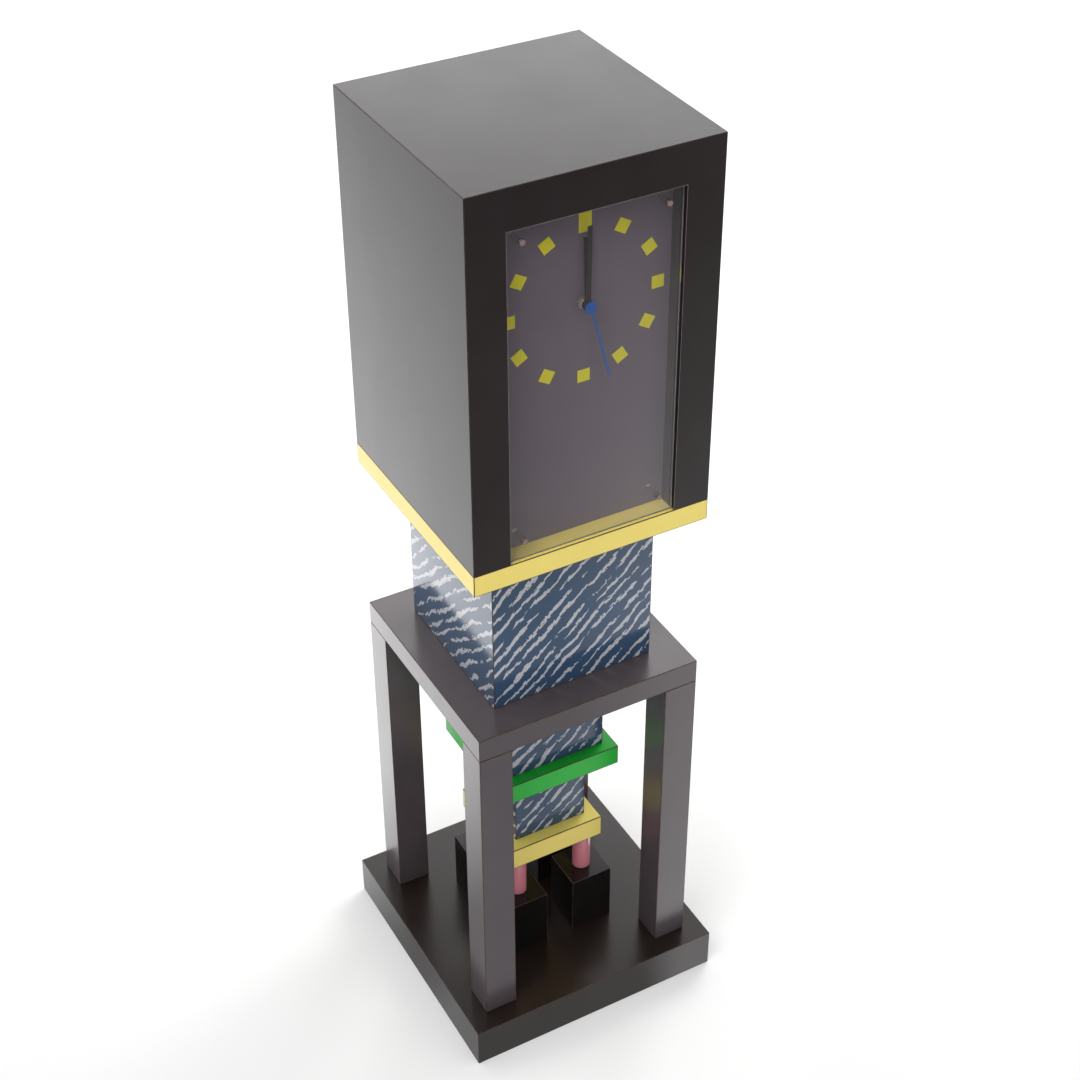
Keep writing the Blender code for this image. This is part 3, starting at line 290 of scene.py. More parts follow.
@dataclass(frozen=True)
class Laminate(Finish):
    """Pressed laminate sheet: an even colour, a faint pebble and a soft sheen with handling marks."""

    colour: Colour
    roughness: float = 0.38
    cloud: float = 0.06
    pebble: float = 0.008 * MM
    dust: float = 0.35
    gloss: float = 0.4

    def make(self) -> Material:
        """Builds the face colour, its sheen, the pebble and the dust.

        Returns:
            The new material.
        """
        graph = Graph(self.name)
        at = graph.place()
        cloud = graph.span(graph.noise(at, 7.0, 3.0, 0.6), *MIDDLE)
        colour = graph.tint(cloud, shaded(self.colour, 1 - self.cloud), shaded(self.colour, 1 + self.cloud, 0.004))
        speck = graph.span(graph.noise(at, 420.0, 1.0), 0.78, 0.86, 0.0, self.dust)
        colour = graph.tint(speck, colour, DUST)
        smear = graph.noise(graph.stretched(at, (1.0, 1.0, 0.45)), 12.0, 3.0, 0.5)
        sheen = graph.span(smear, *BROAD, self.roughness - 0.02, self.roughness + 0.03)
        wave = graph.bump(graph.noise(at, 9.0, 1.0), 0.2 * MM, 0.25)
        normal = graph.bump(graph.noise(at, 1100.0, 1.0, 0.5), self.pebble, 0.5, wave)
        return graph.close(graph.coat(colour, sheen, normal, Specular_IOR_Level=self.gloss))


@dataclass(frozen=True)
class EdgeLine(Finish):
    """The sheet's own core, showing as a line along each trimmed edge, or a pale painted highlight line along an
    edge.
    """

    colour: Colour
    pale: Colour

    def make(self) -> Material:
        """Builds the core's colour, uneven where the trimmer passed.

        Returns:
            The new material.
        """
        graph = Graph(self.name)
        at = graph.place()
        colour = graph.tint(graph.span(graph.noise(at, 60.0, 4.0, 0.7), 0.35, 0.7), self.colour, self.pale)
        layers = graph.noise(at, 900.0, 2.0)
        sheen = graph.span(layers, *MIDDLE, 0.42, 0.6)
        return graph.close(graph.coat(colour, sheen, graph.bump(layers, 0.05 * MM, 0.5)))


@dataclass(frozen=True)
class StreakLaminate(Finish):
    """Printed laminate: pale ragged streaks that climb to the right over a deep ground."""

    ground: Colour
    streak: Colour
    roughness: float = 0.12
    slope: float = 41.0
    pitch: float = 19.5 * MM
    cover: float = 0.71
    sway: float = 7.0 * MM
    teeth: float = 178.0
    rows: float = 0.18
    bite: float = 2.8 * MM

    def sheet(self, graph: Graph) -> Socket:
        """Lays the print flat on each side of the column, and shoves it up or down in narrow teeth.

        Args:
            graph: The finish's graph.

        Returns:
            Socket of the position on the print: sideways, height and a number of the column's side.
        """
        x, y, z = graph.split(graph.place())
        nx, ny, nz = graph.split(graph.facing())
        side = graph.plus(graph.times(x, graph.times(ny, -1.0)), graph.times(y, nx))
        seed = graph.plus(graph.times(nx, 0.37), graph.times(ny, 0.81))
        height = graph.plus(z, graph.times(nz, 0.3))
        lean = graph.noise(graph.join(side, height, seed), 90.0, 2.0, 0.6)
        lean = graph.span(lean, *WHOLE, -1.5 / self.teeth, 1.5 / self.teeth)
        column = graph.calc("FLOOR", graph.times(graph.plus(side, lean), self.teeth))
        row = graph.calc("FLOOR", graph.times(z, self.rows * self.teeth))
        comb = graph.node("TexWhiteNoise", graph.join(column, row, seed)).outputs["Value"]
        shove = graph.span(comb, 0.0, 1.0, -self.bite, self.bite)
        return graph.join(side, graph.plus(height, shove), seed)

    def ink(self, graph: Graph, sheet: Socket) -> Socket:
        """Works out where the streaks lie.

        Args:
            graph: The finish's graph.
            sheet: Position on the print.

        Returns:
            Socket that is 1 on a streak and 0 on the ground.
        """
        run = graph.stretched(sheet, (1.0, 1.0, 1.0), (0.0, 0.0, math.radians(-self.slope)))
        along, over, layer = graph.split(run)
        sway = graph.noise(graph.join(graph.times(along, 13.0), graph.times(over, 20.0), layer), 1.0, 1.0)
        over = graph.plus(over, graph.span(sway, *WHOLE, -self.sway, self.sway))
        band = graph.span(graph.calc("SINE", graph.times(over, 2.0 * math.pi / self.pitch)), -1.0, 1.0)
        breaks = graph.noise(graph.join(graph.times(along, 23.0), graph.times(over, 62.0), layer), 1.0, 2.0, 0.6)
        ink = graph.plus(graph.times(band, 0.62), graph.span(breaks, *WHOLE, -0.12, 0.5))
        return graph.span(ink, self.cover, self.cover + 0.02)

    def make(self) -> Material:
        """Builds the ground, the streaks over it and the gloss.

        Returns:
            The new material.
        """
        graph = Graph(self.name)
        at = graph.place()
        sheet = self.sheet(graph)
        cloud = graph.span(graph.noise(at, 9.0, 3.0, 0.6), *MIDDLE)
        ground = graph.tint(cloud, shaded(self.ground, 0.9), self.ground)
        fibre = graph.noise(graph.stretched(sheet, (1.0, 0.4, 1.0)), 700.0, 2.0)
        streak = graph.tint(graph.span(fibre, 0.35, 0.7, 0.0, 0.35), self.streak, self.ground)
        colour = graph.tint(self.ink(graph, sheet), ground, streak)
        smear = graph.noise(graph.stretched(at, (1.0, 1.0, 0.5)), 14.0, 5.0, 0.6, 0.5)
        sheen = graph.span(smear, *BROAD, self.roughness - 0.03, self.roughness + 0.04)
        wave = graph.bump(graph.noise(at, 14.0, 1.0), 0.15 * MM, 0.3)
        return graph.close(graph.coat(colour, sheen, wave, IOR=1.5))


@dataclass(frozen=True)
class Lacquer(Finish):
    """Sprayed lacquer on turned wood, with a slight orange peel."""

    colour: Colour
    roughness: float = 0.25

    def make(self) -> Material:
        """Builds the coat and the faint turning marks under it.

        Returns:
            The new material.
        """
        graph = Graph(self.name)
        at = graph.place()
        cloud = graph.noise(at, 40.0, 4.0, 0.6)
        colour = graph.tint(graph.span(cloud, *MIDDLE), shaded(self.colour, 0.95), self.colour)
        lathe = graph.noise(graph.stretched(at, (0.05, 0.05, 1.0)), 700.0, 2.0)
        peel = graph.bump(graph.noise(at, 260.0, 1.0), 0.012 * MM, 0.4, graph.bump(lathe, 0.01 * MM, 0.3))
        sheen = graph.span(cloud, *MIDDLE, self.roughness, self.roughness + 0.06)
        return graph.close(graph.coat(colour, sheen, peel, Coat_Weight=0.6, Coat_Roughness=0.06))


@dataclass(frozen=True)
class Plastic(Finish):
    """Moulded plastic with a spark-eroded grain."""

    colour: Colour
    roughness: float = 0.4
    grain: float = 900.0
    depth: float = 0.03 * MM

    def make(self) -> Material:
        """Builds the tone, the flow marks and the grain.

        Returns:
            The new material.
        """
        graph = Graph(self.name)
        at = graph.place()
        flow = graph.noise(at, 55.0, 4.0, 0.6, 0.8)
        colour = graph.tint(graph.span(flow, *MIDDLE), shaded(self.colour, 0.86), shaded(self.colour, 1.08, 0.003))
        grain = graph.bump(graph.noise(at, self.grain, 2.0), self.depth, 0.8)
        sheen = graph.span(flow, *MIDDLE, self.roughness - 0.04, self.roughness + 0.06)
        return graph.close(graph.coat(colour, sheen, grain))


@dataclass(frozen=True)
class Metal(Finish):
    """Bare or plated metal with fine brushing along one axis and tarnish in places."""

    colour: Colour
    roughness: float = 0.28
    brushed: Triple = (1.0, 1.0, 0.04)
    tarnish: float = 0.25

    def make(self) -> Material:
        """Builds the metal's tone, brushing and tarnish.

        Returns:
            The new material.
        """
        graph = Graph(self.name)
        at = graph.place()
        stain = graph.span(graph.noise(at, 120.0, 5.0, 0.65), 0.45, 0.75, 0.0, self.tarnish)
        colour = graph.tint(stain, self.colour, shaded(self.colour, 0.62))
        lines = graph.noise(graph.stretched(at, self.brushed), 2600.0, 3.0, 0.7)
        sheen = graph.span(lines, *MIDDLE, self.roughness - 0.07, self.roughness + 0.1)
        return graph.close(graph.coat(colour, sheen, graph.bump(lines, 0.02 * MM, 0.5), Metallic=1.0))


@dataclass(frozen=True)
class Clear(Finish):
    """Clear glass or acrylic that also lets lamps through."""

    colour: Colour
    roughness: float = 0.0
    index: float = 1.5
    smudge: float = 0.03

    def make(self) -> Material:
        """Builds the clear body, a faint film on it and the way for lamps.

        Returns:
            The new material.
        """
        graph = Graph(self.name)
        film = graph.noise(graph.stretched(graph.place(), (1.0, 1.0, 0.7)), 24.0, 5.0, 0.65, 0.7)
        sheen = graph.span(film, 0.5, 0.8, self.roughness, self.roughness + self.smudge)
        body = graph.coat(self.colour, sheen, IOR=self.index, Transmission_Weight=1.0)
        lamp = graph.node("BsdfTransparent", shaded(self.colour, 0.5, 0.5)).outputs[0]
        return graph.close(graph.blend(graph.ray("Is Shadow Ray"), body, lamp))


@dataclass(frozen=True)
class CellJacket(Finish):
    """Printed film round the cell, with bare ends and a plain band near the nub.

    Each fade is two places from an end of the cell, between which one tone gives way to the next.
    """

    film: Colour
    band: Colour
    bare: Colour
    start: float
    end: float
    band_fade: tuple[float, float] = (14.0 * MM, 13.8 * MM)
    lip_fade: tuple[float, float] = (1.0 * MM, 0.9 * MM)

    def make(self) -> Material:
        """Builds the film, the band and the bare ends from the place along the cell.

        Returns:
            The new material.
        """
        graph = Graph(self.name)
        at = graph.place()
        x = graph.split(at)[0]
        band = graph.span(x, *(self.end - place for place in self.band_fade))
        lips = [graph.span(x, *(end + way * place for place in self.lip_fade))
                for end, way in ((self.start, 1), (self.end, -1))]
        bare = graph.calc("MAXIMUM", *lips)
        colour = graph.tint(bare, graph.tint(band, self.film, self.band), self.bare)
        scuff = graph.noise(at, 300.0, 4.0, 0.6)
        sheen = graph.span(scuff, *MIDDLE, 0.29, 0.42)
        return graph.close(graph.coat(colour, sheen, graph.bump(scuff, 0.02 * MM, 0.5), Metallic=bare))


@dataclass(frozen=True)
class CircuitBoard(Finish):
    """Green solder mask over copper tracks, with black components."""

    mask: Colour
    track: Colour
    chip: Colour
    back: float

    def make(self) -> Material:
        """Builds the tracks on the board and the dark tops of what stands on it.

        Returns:
            The new material.
        """
        graph = Graph(self.name)
        at = graph.place()
        _, y, z = graph.split(at)
        wander = graph.noise(at, 260.0, 1.0)
        path = graph.calc("SINE", graph.plus(graph.times(z, 3600.0), graph.span(wander, 0.0, 1.0, -5.0, 5.0)))
        tracks = graph.tint(graph.span(path, 0.55, 0.7), self.mask, self.track)
        colour = graph.tint(graph.span(y, self.back, self.back + 0.05 * MM), tracks, self.chip)
        sheen = graph.span(wander, *MIDDLE, 0.3, 0.42)
        return graph.close(graph.coat(colour, sheen, graph.bump(path, 0.04 * MM, 0.4)))


@dataclass(frozen=True)
class WhiteSweep(Finish):
    """The studio's white floor, which shows the clock's shadow and a bright sweep in its gloss.

    Each range is a low and a high value, and the result at each. The lift brightens the floor for the camera. The
    back, the front and the wedge to the front's right are the parts of the sweep that the clock's gloss mirrors.
    """

    white: float = 0.84
    ahead: tuple[float, float] = (0.49, 0.87)
    # Painted light: the lift glows for the camera, more to the back and far off, and round the clock, paling its
    # shadow.
    lift_ahead: Range = (-0.35, 0.45, 0.02, 0.2)
    lift_far: Range = (0.9, 4.0, 0.0, 0.36)
    lift_near: Range = (0.28, 0.75, 0.11, 0.0)
    back: Range = (-0.08, 0.58, 0.1, 2.7)
    back_left: Range = (-1.6, -0.5, 0.33, 1.0)
    back_right: Range = (0.14, 0.4, 1.0, 0.22)
    back_tilt: Range = (-0.35, 0.3, 0.84, 1.5)
    front: Range = (-3.0, -0.8, 0.08, 0.55)
    front_end: Range = (0.1, -0.1, 0.0, 1.0)
    wedge: Range = (0.4, 0.78, 0.0, 1.0)
    wedge_gain: Range = (-1.5, -0.9, 1.5, 2.1)

    def sweep(self, graph: Graph, x: Socket, y: Socket) -> Socket:
        """Brightness that the clock's gloss mirrors, by the place on the floor.

        Args:
            graph: The finish's graph.
            x: Place to the right.
            y: Place to the back.

        Returns:
            The brightness's socket.
        """
        tilt = graph.plus(graph.times(x, 2.0), y)
        back = graph.times(
            graph.span(y, *self.back, True), graph.span(x, *self.back_left),
            graph.span(x, *self.back_right, True), graph.span(tilt, *self.back_tilt, True),
        )
        slant = graph.calc("DIVIDE", x, graph.calc("MAXIMUM", graph.times(y, -1.0), 0.05))
        wedge = graph.times(graph.span(slant, *self.wedge, True), graph.span(y, *self.wedge_gain, True))
        front = graph.times(graph.span(y, *self.front), graph.plus(wedge, 1.0), graph.span(y, *self.front_end))
        return graph.plus(back, front)

    def make(self) -> Material:
        """Builds the white, its lift and the sweep in the gloss.

        Returns:
            The new material.
        """
        graph = Graph(self.name)
        x, y, _ = graph.split(graph.place())
        away = graph.plus(graph.times(x, self.ahead[0]), graph.times(y, self.ahead[1]))
        reach = graph.calc("SQRT", graph.plus(graph.times(x, x), graph.times(y, y)))
        # Painted light: glow for the camera, which pales the clock's shadow close round it.
        around = graph.plus(graph.span(reach, *self.lift_far), graph.span(reach, *self.lift_near))
        rise = graph.calc("MAXIMUM", graph.span(away, *self.lift_ahead), around)
        lift = graph.light(graph.times(graph.ray("Is Camera Ray"), rise))
        seen = graph.node("AddShader", graph.node("BsdfDiffuse", (self.white,) * 3).outputs[0], lift).outputs[0]
        return graph.close(graph.blend(graph.ray("Is Glossy Ray"), seen, graph.light(self.sweep(graph, x, y))))


BROWN_EDGE = EdgeLine("edge_brown_core", paint(56, 36, 27), paint(92, 62, 44))
DARK_EDGE = EdgeLine("edge_dark_core", paint(40, 30, 26), paint(74, 56, 46))
BLOCK_EDGE = EdgeLine("edge_block_core", paint(44, 38, 36), paint(74, 66, 62))
# Painted highlight: a pale line along the opening's front edge, standing in for the glint of the glass edge.
OPENING_HIGHLIGHT = EdgeLine("edge_opening_painted_highlight", paint(112, 100, 97), paint(150, 136, 132))

BLACK = Laminate("black_laminate_sheet", paint(31, 23, 24), 0.3, gloss=0.33)
BASE_BLACK = Laminate("base_black_laminate_sheet", paint(30, 21, 19), 0.24, gloss=0.42)
GREY = Laminate("grey_laminate_sheet", paint(74, 67, 71), 0.24, 0.04, 0.004 * MM, 0.2, 0.52)
DIAL_GREY = Laminate("dial_grey_sheet", paint(105, 94, 105), 0.4, 0.03, gloss=0.2)
YELLOW = Laminate("yellow_laminate_sheet", paint(233, 212, 110), 0.36, 0.03, dust=0.1)
GREEN = Laminate("green_laminate_sheet", paint(22, 178, 52), 0.32, 0.03, dust=0.1)
SQUARE_YELLOW = Laminate("hour_square_yellow_sheet", paint(226, 216, 24), 0.4, 0.04, dust=0.1, gloss=0.2)
BLOCK_BLACK = Laminate("block_gloss_sheet", paint(20, 17, 17), 0.1, 0.1, 0.004 * MM)
BLUE = StreakLaminate("blue_streak_sheet", paint(53, 76, 104), paint(190, 190, 195))
PINK = Lacquer("pink_lacquer_coat", paint(204, 126, 138), 0.16)
GLASS = Clear("clear_glass_body", (0.965, 0.96, 0.965))
GLASS_EDGE = Plastic("clear_glass_ground_edge", paint(118, 116, 117), 0.33)
ACRYLIC = Clear("clear_acrylic_body", (0.93, 0.90, 0.90), 0.08, 1.2, 0.1)
ACRYLIC_END = Plastic("clear_acrylic_sawn_end", paint(130, 108, 104), 0.45)
HAND_BLACK = Laminate("hand_black_enamel", paint(38, 30, 32), 0.35, 0.05, 0.005 * MM, 0.1, 0.2)
HAND_BLUE = Laminate("hand_blue_enamel", paint(0, 84, 170), 0.32, 0.05, 0.005 * MM, 0.1, 0.15)
NICKEL = Metal("nickel_plate", paint(220, 206, 194), 0.45, tarnish=0.3)
# Painted highlight: pale plastic ridges that stand in for the bright glints on the nickel nut.
SERRATION_HIGHLIGHT = Plastic("nut_serration_painted_highlight", paint(244, 236, 226), 0.4, 1200.0, 0.01 * MM)
STEEL = Metal("hinge_steel_brushed", paint(126, 124, 122), 0.4)
KNOB_BLACK = Plastic("knob_black_moulding", paint(34, 31, 31), 0.32)
CATCH_WHITE = Plastic("catch_white_moulding", paint(226, 224, 216), 0.45)
CASE_BLACK = Plastic("movement_black_moulding", paint(38, 37, 38), 0.5, 700.0, 0.06 * MM)
GEAR_WHITE = Plastic("gear_white_acetal", paint(228, 226, 214), 0.36)
BRASS = Metal("gear_brass_cut", paint(204, 168, 92), 0.35, (0.1, 1.0, 0.1))
MOTOR_STEEL = Metal("motor_steel_stamped", paint(112, 112, 115), 0.42, (1.0, 0.05, 1.0))
COPPER = Metal("coil_copper_wire", paint(196, 118, 74), 0.35, (0.04, 1.0, 1.0))


# ---- pieces and meshes

def settle(piece: Piece, body: Body, slot: str, *nodes: str) -> Piece:
    """Puts a new piece on its body and hides the solids that it stands for.

    Args:
        piece: The new piece, in place.
        body: The body that it rides on.
        slot: Not used.
        nodes: Solids that it stands for.

    Returns:
        The same piece.
    """
    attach(piece, body.value)
    if nodes:
        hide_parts(*nodes)
    LOG.info("%s rides on %s", piece.name, body.value)
    return piece


def linked(item: Piece) -> Piece:
    """Puts a new object into the scene, and hands it back."""
    bpy.context.scene.collection.objects.link(item)
    return item


def finished(name: str, form: Form, *finishes: Finish) -> Piece:
    """Turns a shape into an object with its finishes.

    Args:
        name: Name of the piece.
        form: The shape, in the clock's frame; it is used up.
        finishes: Finishes in the order of the faces' numbers.

    Returns:
        The new object.
    """
    mesh = bpy.data.meshes.new(name)
    form.to_mesh(mesh)
    form.free()
    for finish in finishes:
        mesh.materials.append(finish.material())
    return linked(bpy.data.objects.new(name, mesh))


def smoothed(piece: Piece, degrees: float = 32.0) -> Piece:
    """Shades a piece smooth but for its sharp edges.

    Args:
        piece: The piece.
        degrees: Edges that turn more than this stay sharp.

    Returns:
        The same piece.
    """
    piece.data.shade_smooth()
    piece.data.set_sharp_from_angle(angle=math.radians(degrees))
    level = piece.modifiers.new("flat_faces_lead", "WEIGHTED_NORMAL")
    level.keep_sharp = True
    level.weight = 100
    return piece


def clean_copy(node: str) -> Form:
    """A solid's shape with its triangles merged into whole faces.

    Args:
        node: The solid.

    Returns:
        The shape, in the clock's frame.
    """
    weld, flat = 0.01 * MM, math.radians(0.4)
    form = bmesh.new()
    form.from_mesh(bpy.data.objects[node].data)
    bmesh.ops.remove_doubles(form, verts=form.verts, dist=weld)
    bmesh.ops.dissolve_limit(form, angle_limit=flat, verts=form.verts, edges=form.edges,
                             use_dissolve_boundaries=False)
    for face in form.faces:
        face.material_index = 0
    form.normal_update()
    return form


def eased(form: Form, edges: list[bmesh.types.BMEdge], width: float, clamp: bool) -> None:
    """Rounds edges off by a width; clamp keeps the roundings from running into each other."""
    bmesh.ops.bevel(form, geom=edges, offset=width, segments=2, profile=0.6, affect="EDGES", clamp_overlap=clamp)


def laminated(name: str, node: str, line: float, *finishes: Finish) -> Piece:
    """A board faced with laminate: each trimmed edge shows the sheet's core as a line.

    Args:
        name: Name of the piece.
        node: Solid that gives the board's shape.
        line: Width of the core's line on each face.
        finishes: The face's finish, the core's and any others, in the order of the faces' numbers.

    Returns:
        The new object.
    """
    square, layer = 0.999, 0.1 * MM
    form = clean_copy(node)
    sides: dict[tuple[int, bool, int], list[bmesh.types.BMFace]] = {}
    for face in form.faces:
        normal = face.normal
        axis = max(range(3), key=lambda i: abs(normal[i]))
        if abs(normal[axis]) < square:
            face.material_index = 1
            continue
        place = round(face.calc_center_median()[axis] / layer)
        sides.setdefault((axis, normal[axis] > 0, place), []).append(face)
    for faces in sides.values():
        rim = bmesh.ops.inset_region(form, faces=faces, thickness=line, use_even_offset=True, use_boundary=True)
        for face in rim["faces"]:
            face.material_index = 1
    return finished(name, form, *finishes)


def turned(name: str, profile: Spots, foot: Vector, up: Vector, steps: int, finish: Finish) -> Piece:
    """A piece turned on a lathe.

    Args:
        name: Name of the piece.
        profile: Radius and height pairs, from foot to top.
        foot: Where the axis starts.
        up: Direction of the axis.
        steps: Sides of the round.
        finish: The piece's finish.

    Returns:
        The new object.
    """
    form = bmesh.new()
    turn = up.to_track_quat("Z", "Y")
    rings = []
    for radius, height in profile:
        angles = [2.0 * math.pi * step / steps for step in range(steps if radius else 1)]
        points = [Vector((radius * math.cos(t), radius * math.sin(t), height)) for t in angles]
        rings.append([form.verts.new(foot + turn @ point) for point in points])
    for low, high in zip(rings, rings[1:]):
        for step in range(steps):
            after = (step + 1) % steps
            around = ((low, step), (low, after), (high, after), (high, step))
            corners = list(dict.fromkeys(level[spot % len(level)] for level, spot in around))
            if len(corners) > 2:
                form.faces.new(corners)
    bmesh.ops.remove_doubles(form, verts=form.verts, dist=TINY)
    bmesh.ops.recalc_face_normals(form, faces=form.faces)
    return smoothed(finished(name, form, finish))


def recast(node: str, finish: Finish, ease: float = 0.0, degrees: float = 32.0) -> Piece:
    """A small piece in its solid's own shape, with clean faces, eased edges and smooth rounds.

    Args:
        node: Solid that gives the shape.
        finish: The piece's finish.
        ease: Width of the eased edge, or 0 for none.
        degrees: Edges that turn more than this are sharp.

    Returns:
        The new object.
    """
    form = clean_copy(node)
    if ease:
        sharp = [edge for edge in form.edges
                 if len(edge.link_faces) == 2 and edge.calc_face_angle() > math.radians(degrees)]
        eased(form, sharp, ease, True)
    return smoothed(finished(node + "_piece", form, finish), degrees)


def plate(name: str, loops: list[Spots], front: float, back: float, ease: float, finish: Finish) -> Piece:
    """A flat piece that faces the front, cut to an outline with holes.

    Args:
        name: Name of the piece.
        loops: Outline and holes, each as sideways and height pairs.
        front: Front face's depth.
        back: Back face's depth.
        ease: Width of the eased front edge.
        finish: The piece's finish.

    Returns:
        The new object.
    """
    form = bmesh.new()
    for loop in loops:
        corners = [form.verts.new((x, back, z)) for x, z in loop]
        for start, end in zip(corners, corners[1:] + corners[:1]):
            form.edges.new((start, end))
    bmesh.ops.triangle_fill(form, edges=form.edges, use_beauty=True, use_dissolve=True)
    raised = bmesh.ops.extrude_face_region(form, geom=list(form.faces), use_keep_orig=True)
    verts = [v for v in raised["geom"] if isinstance(v, bmesh.types.BMVert)]
    bmesh.ops.translate(form, verts=verts, vec=(0.0, front - back, 0.0))
    bmesh.ops.recalc_face_normals(form, faces=form.faces)
    rim = [edge for edge in form.edges if len(edge.link_faces) == 2 and edge.calc_face_angle() > RIM_TURN
           and all(abs(v.co.y - front) < TINY for v in edge.verts)]
    eased(form, rim, ease, False)
    return smoothed(finished(name, form, finish))


def ring(radius: float, steps: int, centre: Vector) -> Spots:
    """Points of a circle that faces the front."""
    turns = (2.0 * math.pi * step / steps for step in range(steps))
    return [(centre.x + radius * math.cos(t), centre.z + radius * math.sin(t)) for t in turns]


# ---- sub-assemblies

@dataclass
class Pedestal:
    """Base, foot blocks, rods, slabs and columns that carry the head."""

    rod_steps: int = 96
    rod_ease: float = 1.2 * MM
    block_line: float = 0.2 * MM
    corners: tuple[str, ...] = ("front_left", "front_right", "back_left", "back_right")

    def board(self, node: str, slot: str, face: Finish, core: Finish = BROWN_EDGE,
              line: float = 0.8 * MM) -> Piece:
        """Makes one laminated board in place of its solid.

        Args:
            node: Solid that gives the board's shape.
            slot: Material slot of its finish.
            face: Finish of its faces.
            core: Finish of its trimmed edges.
            line: Width of the core's line on each face.

        Returns:
            The new board.
        """
        piece = laminated(node + "_board", node, line, face, core)
        return settle(piece, Body.CASE, slot, node)

    def rod(self, node: str) -> Piece:
        """Makes one lacquered rod with softly rounded ends.

        Args:
            node: Solid that gives its size.

        Returns:
            The new rod.
        """
        low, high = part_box(node)
        radius, height, ease = (high.x - low.x) / 2, high.z - low.z, self.rod_ease
        bend = [(radius - ease + ease * math.sin(t), ease - ease * math.cos(t))
                for t in (math.radians(degrees) for degrees in range(0, 91, 15))]
        top = [(r, height - h) for r, h in reversed(bend)]
        foot = Vector(((low.x + high.x) / 2, (low.y + high.y) / 2, low.z))
        profile = [(0.0, 0.0), *bend, *top, (0.0, height)]
        piece = turned(node + "_turning", profile, foot, Vector((0.0, 0.0, 1.0)), self.rod_steps, PINK)
        return settle(piece, Body.CASE, "pink_lacquer", node)

    def build(self) -> None:
        """Makes the whole pedestal from the floor up."""
        self.board("base_plinth", "base_laminate", BASE_BLACK, DARK_EDGE)
        for corner in self.corners:
            self.board("foot_block_" + corner, "block_gloss_black", BLOCK_BLACK, BLOCK_EDGE, self.block_line)
            self.rod("rod_" + corner)
            self.board("table_leg_" + corner, "grey_laminate", GREY)
        for node, slot, face in (
            ("lower_yellow_slab", "yellow_laminate", YELLOW),
            ("lower_column", "blue_laminate", BLUE),
            ("green_slab", "green_laminate", GREEN),
            ("middle_column", "blue_laminate", BLUE),
            ("tabletop", "grey_laminate", GREY),
            ("upper_column", "blue_laminate", BLUE),
            ("upper_yellow_slab", "yellow_laminate", YELLOW),
        ):
            self.board(node, slot, face)


@dataclass
class Head:
    """The clock's box: front frame, sides, top and the door at the back."""

    line: float = 0.5 * MM
    opening_rim: float = 3 * MM
    catch_ease: float = 0.4 * MM

    def frame(self) -> Piece:
        """Makes the front frame, with a pale painted highlight on the front edge of its opening.

        Returns:
            The new object.
        """
        piece = laminated("head_front_frame_board", "head_front_frame", self.line, BLACK, DARK_EDGE, OPENING_HIGHLIGHT)
        low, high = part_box("glass_pane")
        for face in piece.data.polygons:
            at = face.center
            beside = low.x - self.opening_rim < at.x < high.x + self.opening_rim
            level = low.z < at.z < high.z + self.opening_rim
            # Painted highlight: the front rims round the opening take the pale line.
            if beside and level and face.material_index == 1 and face.normal.y < -0.5:
                face.material_index = 2
        return piece

    def build(self) -> None:
        """Makes the panels, the door and its fittings."""
        settle(self.frame(), Body.CASE, "black_laminate", "head_front_frame")
        boards = {"head_left_panel": Body.CASE, "head_right_panel": Body.CASE, "head_top_panel": Body.CASE,
                  "rear_door": Body.DOOR}
        for node, body in boards.items():
            settle(laminated(node + "_board", node, self.line, BLACK, DARK_EDGE), body, "black_laminate", node)
        fittings = {"hinge_frame_leaf": Body.CASE, "hinge_pin": Body.CASE, "hinge_door_leaf": Body.DOOR,
                    "strike_plate": Body.DOOR}
        for node, body in fittings.items():
            settle(recast(node, STEEL), body, "hinge_steel", node)
        settle(recast("door_knob", KNOB_BLACK), Body.DOOR, "knob_black", "door_knob")
        catch = recast("magnetic_catch", CATCH_WHITE, self.catch_ease)
        settle(catch, Body.CASE, "catch_white", "magnetic_catch")


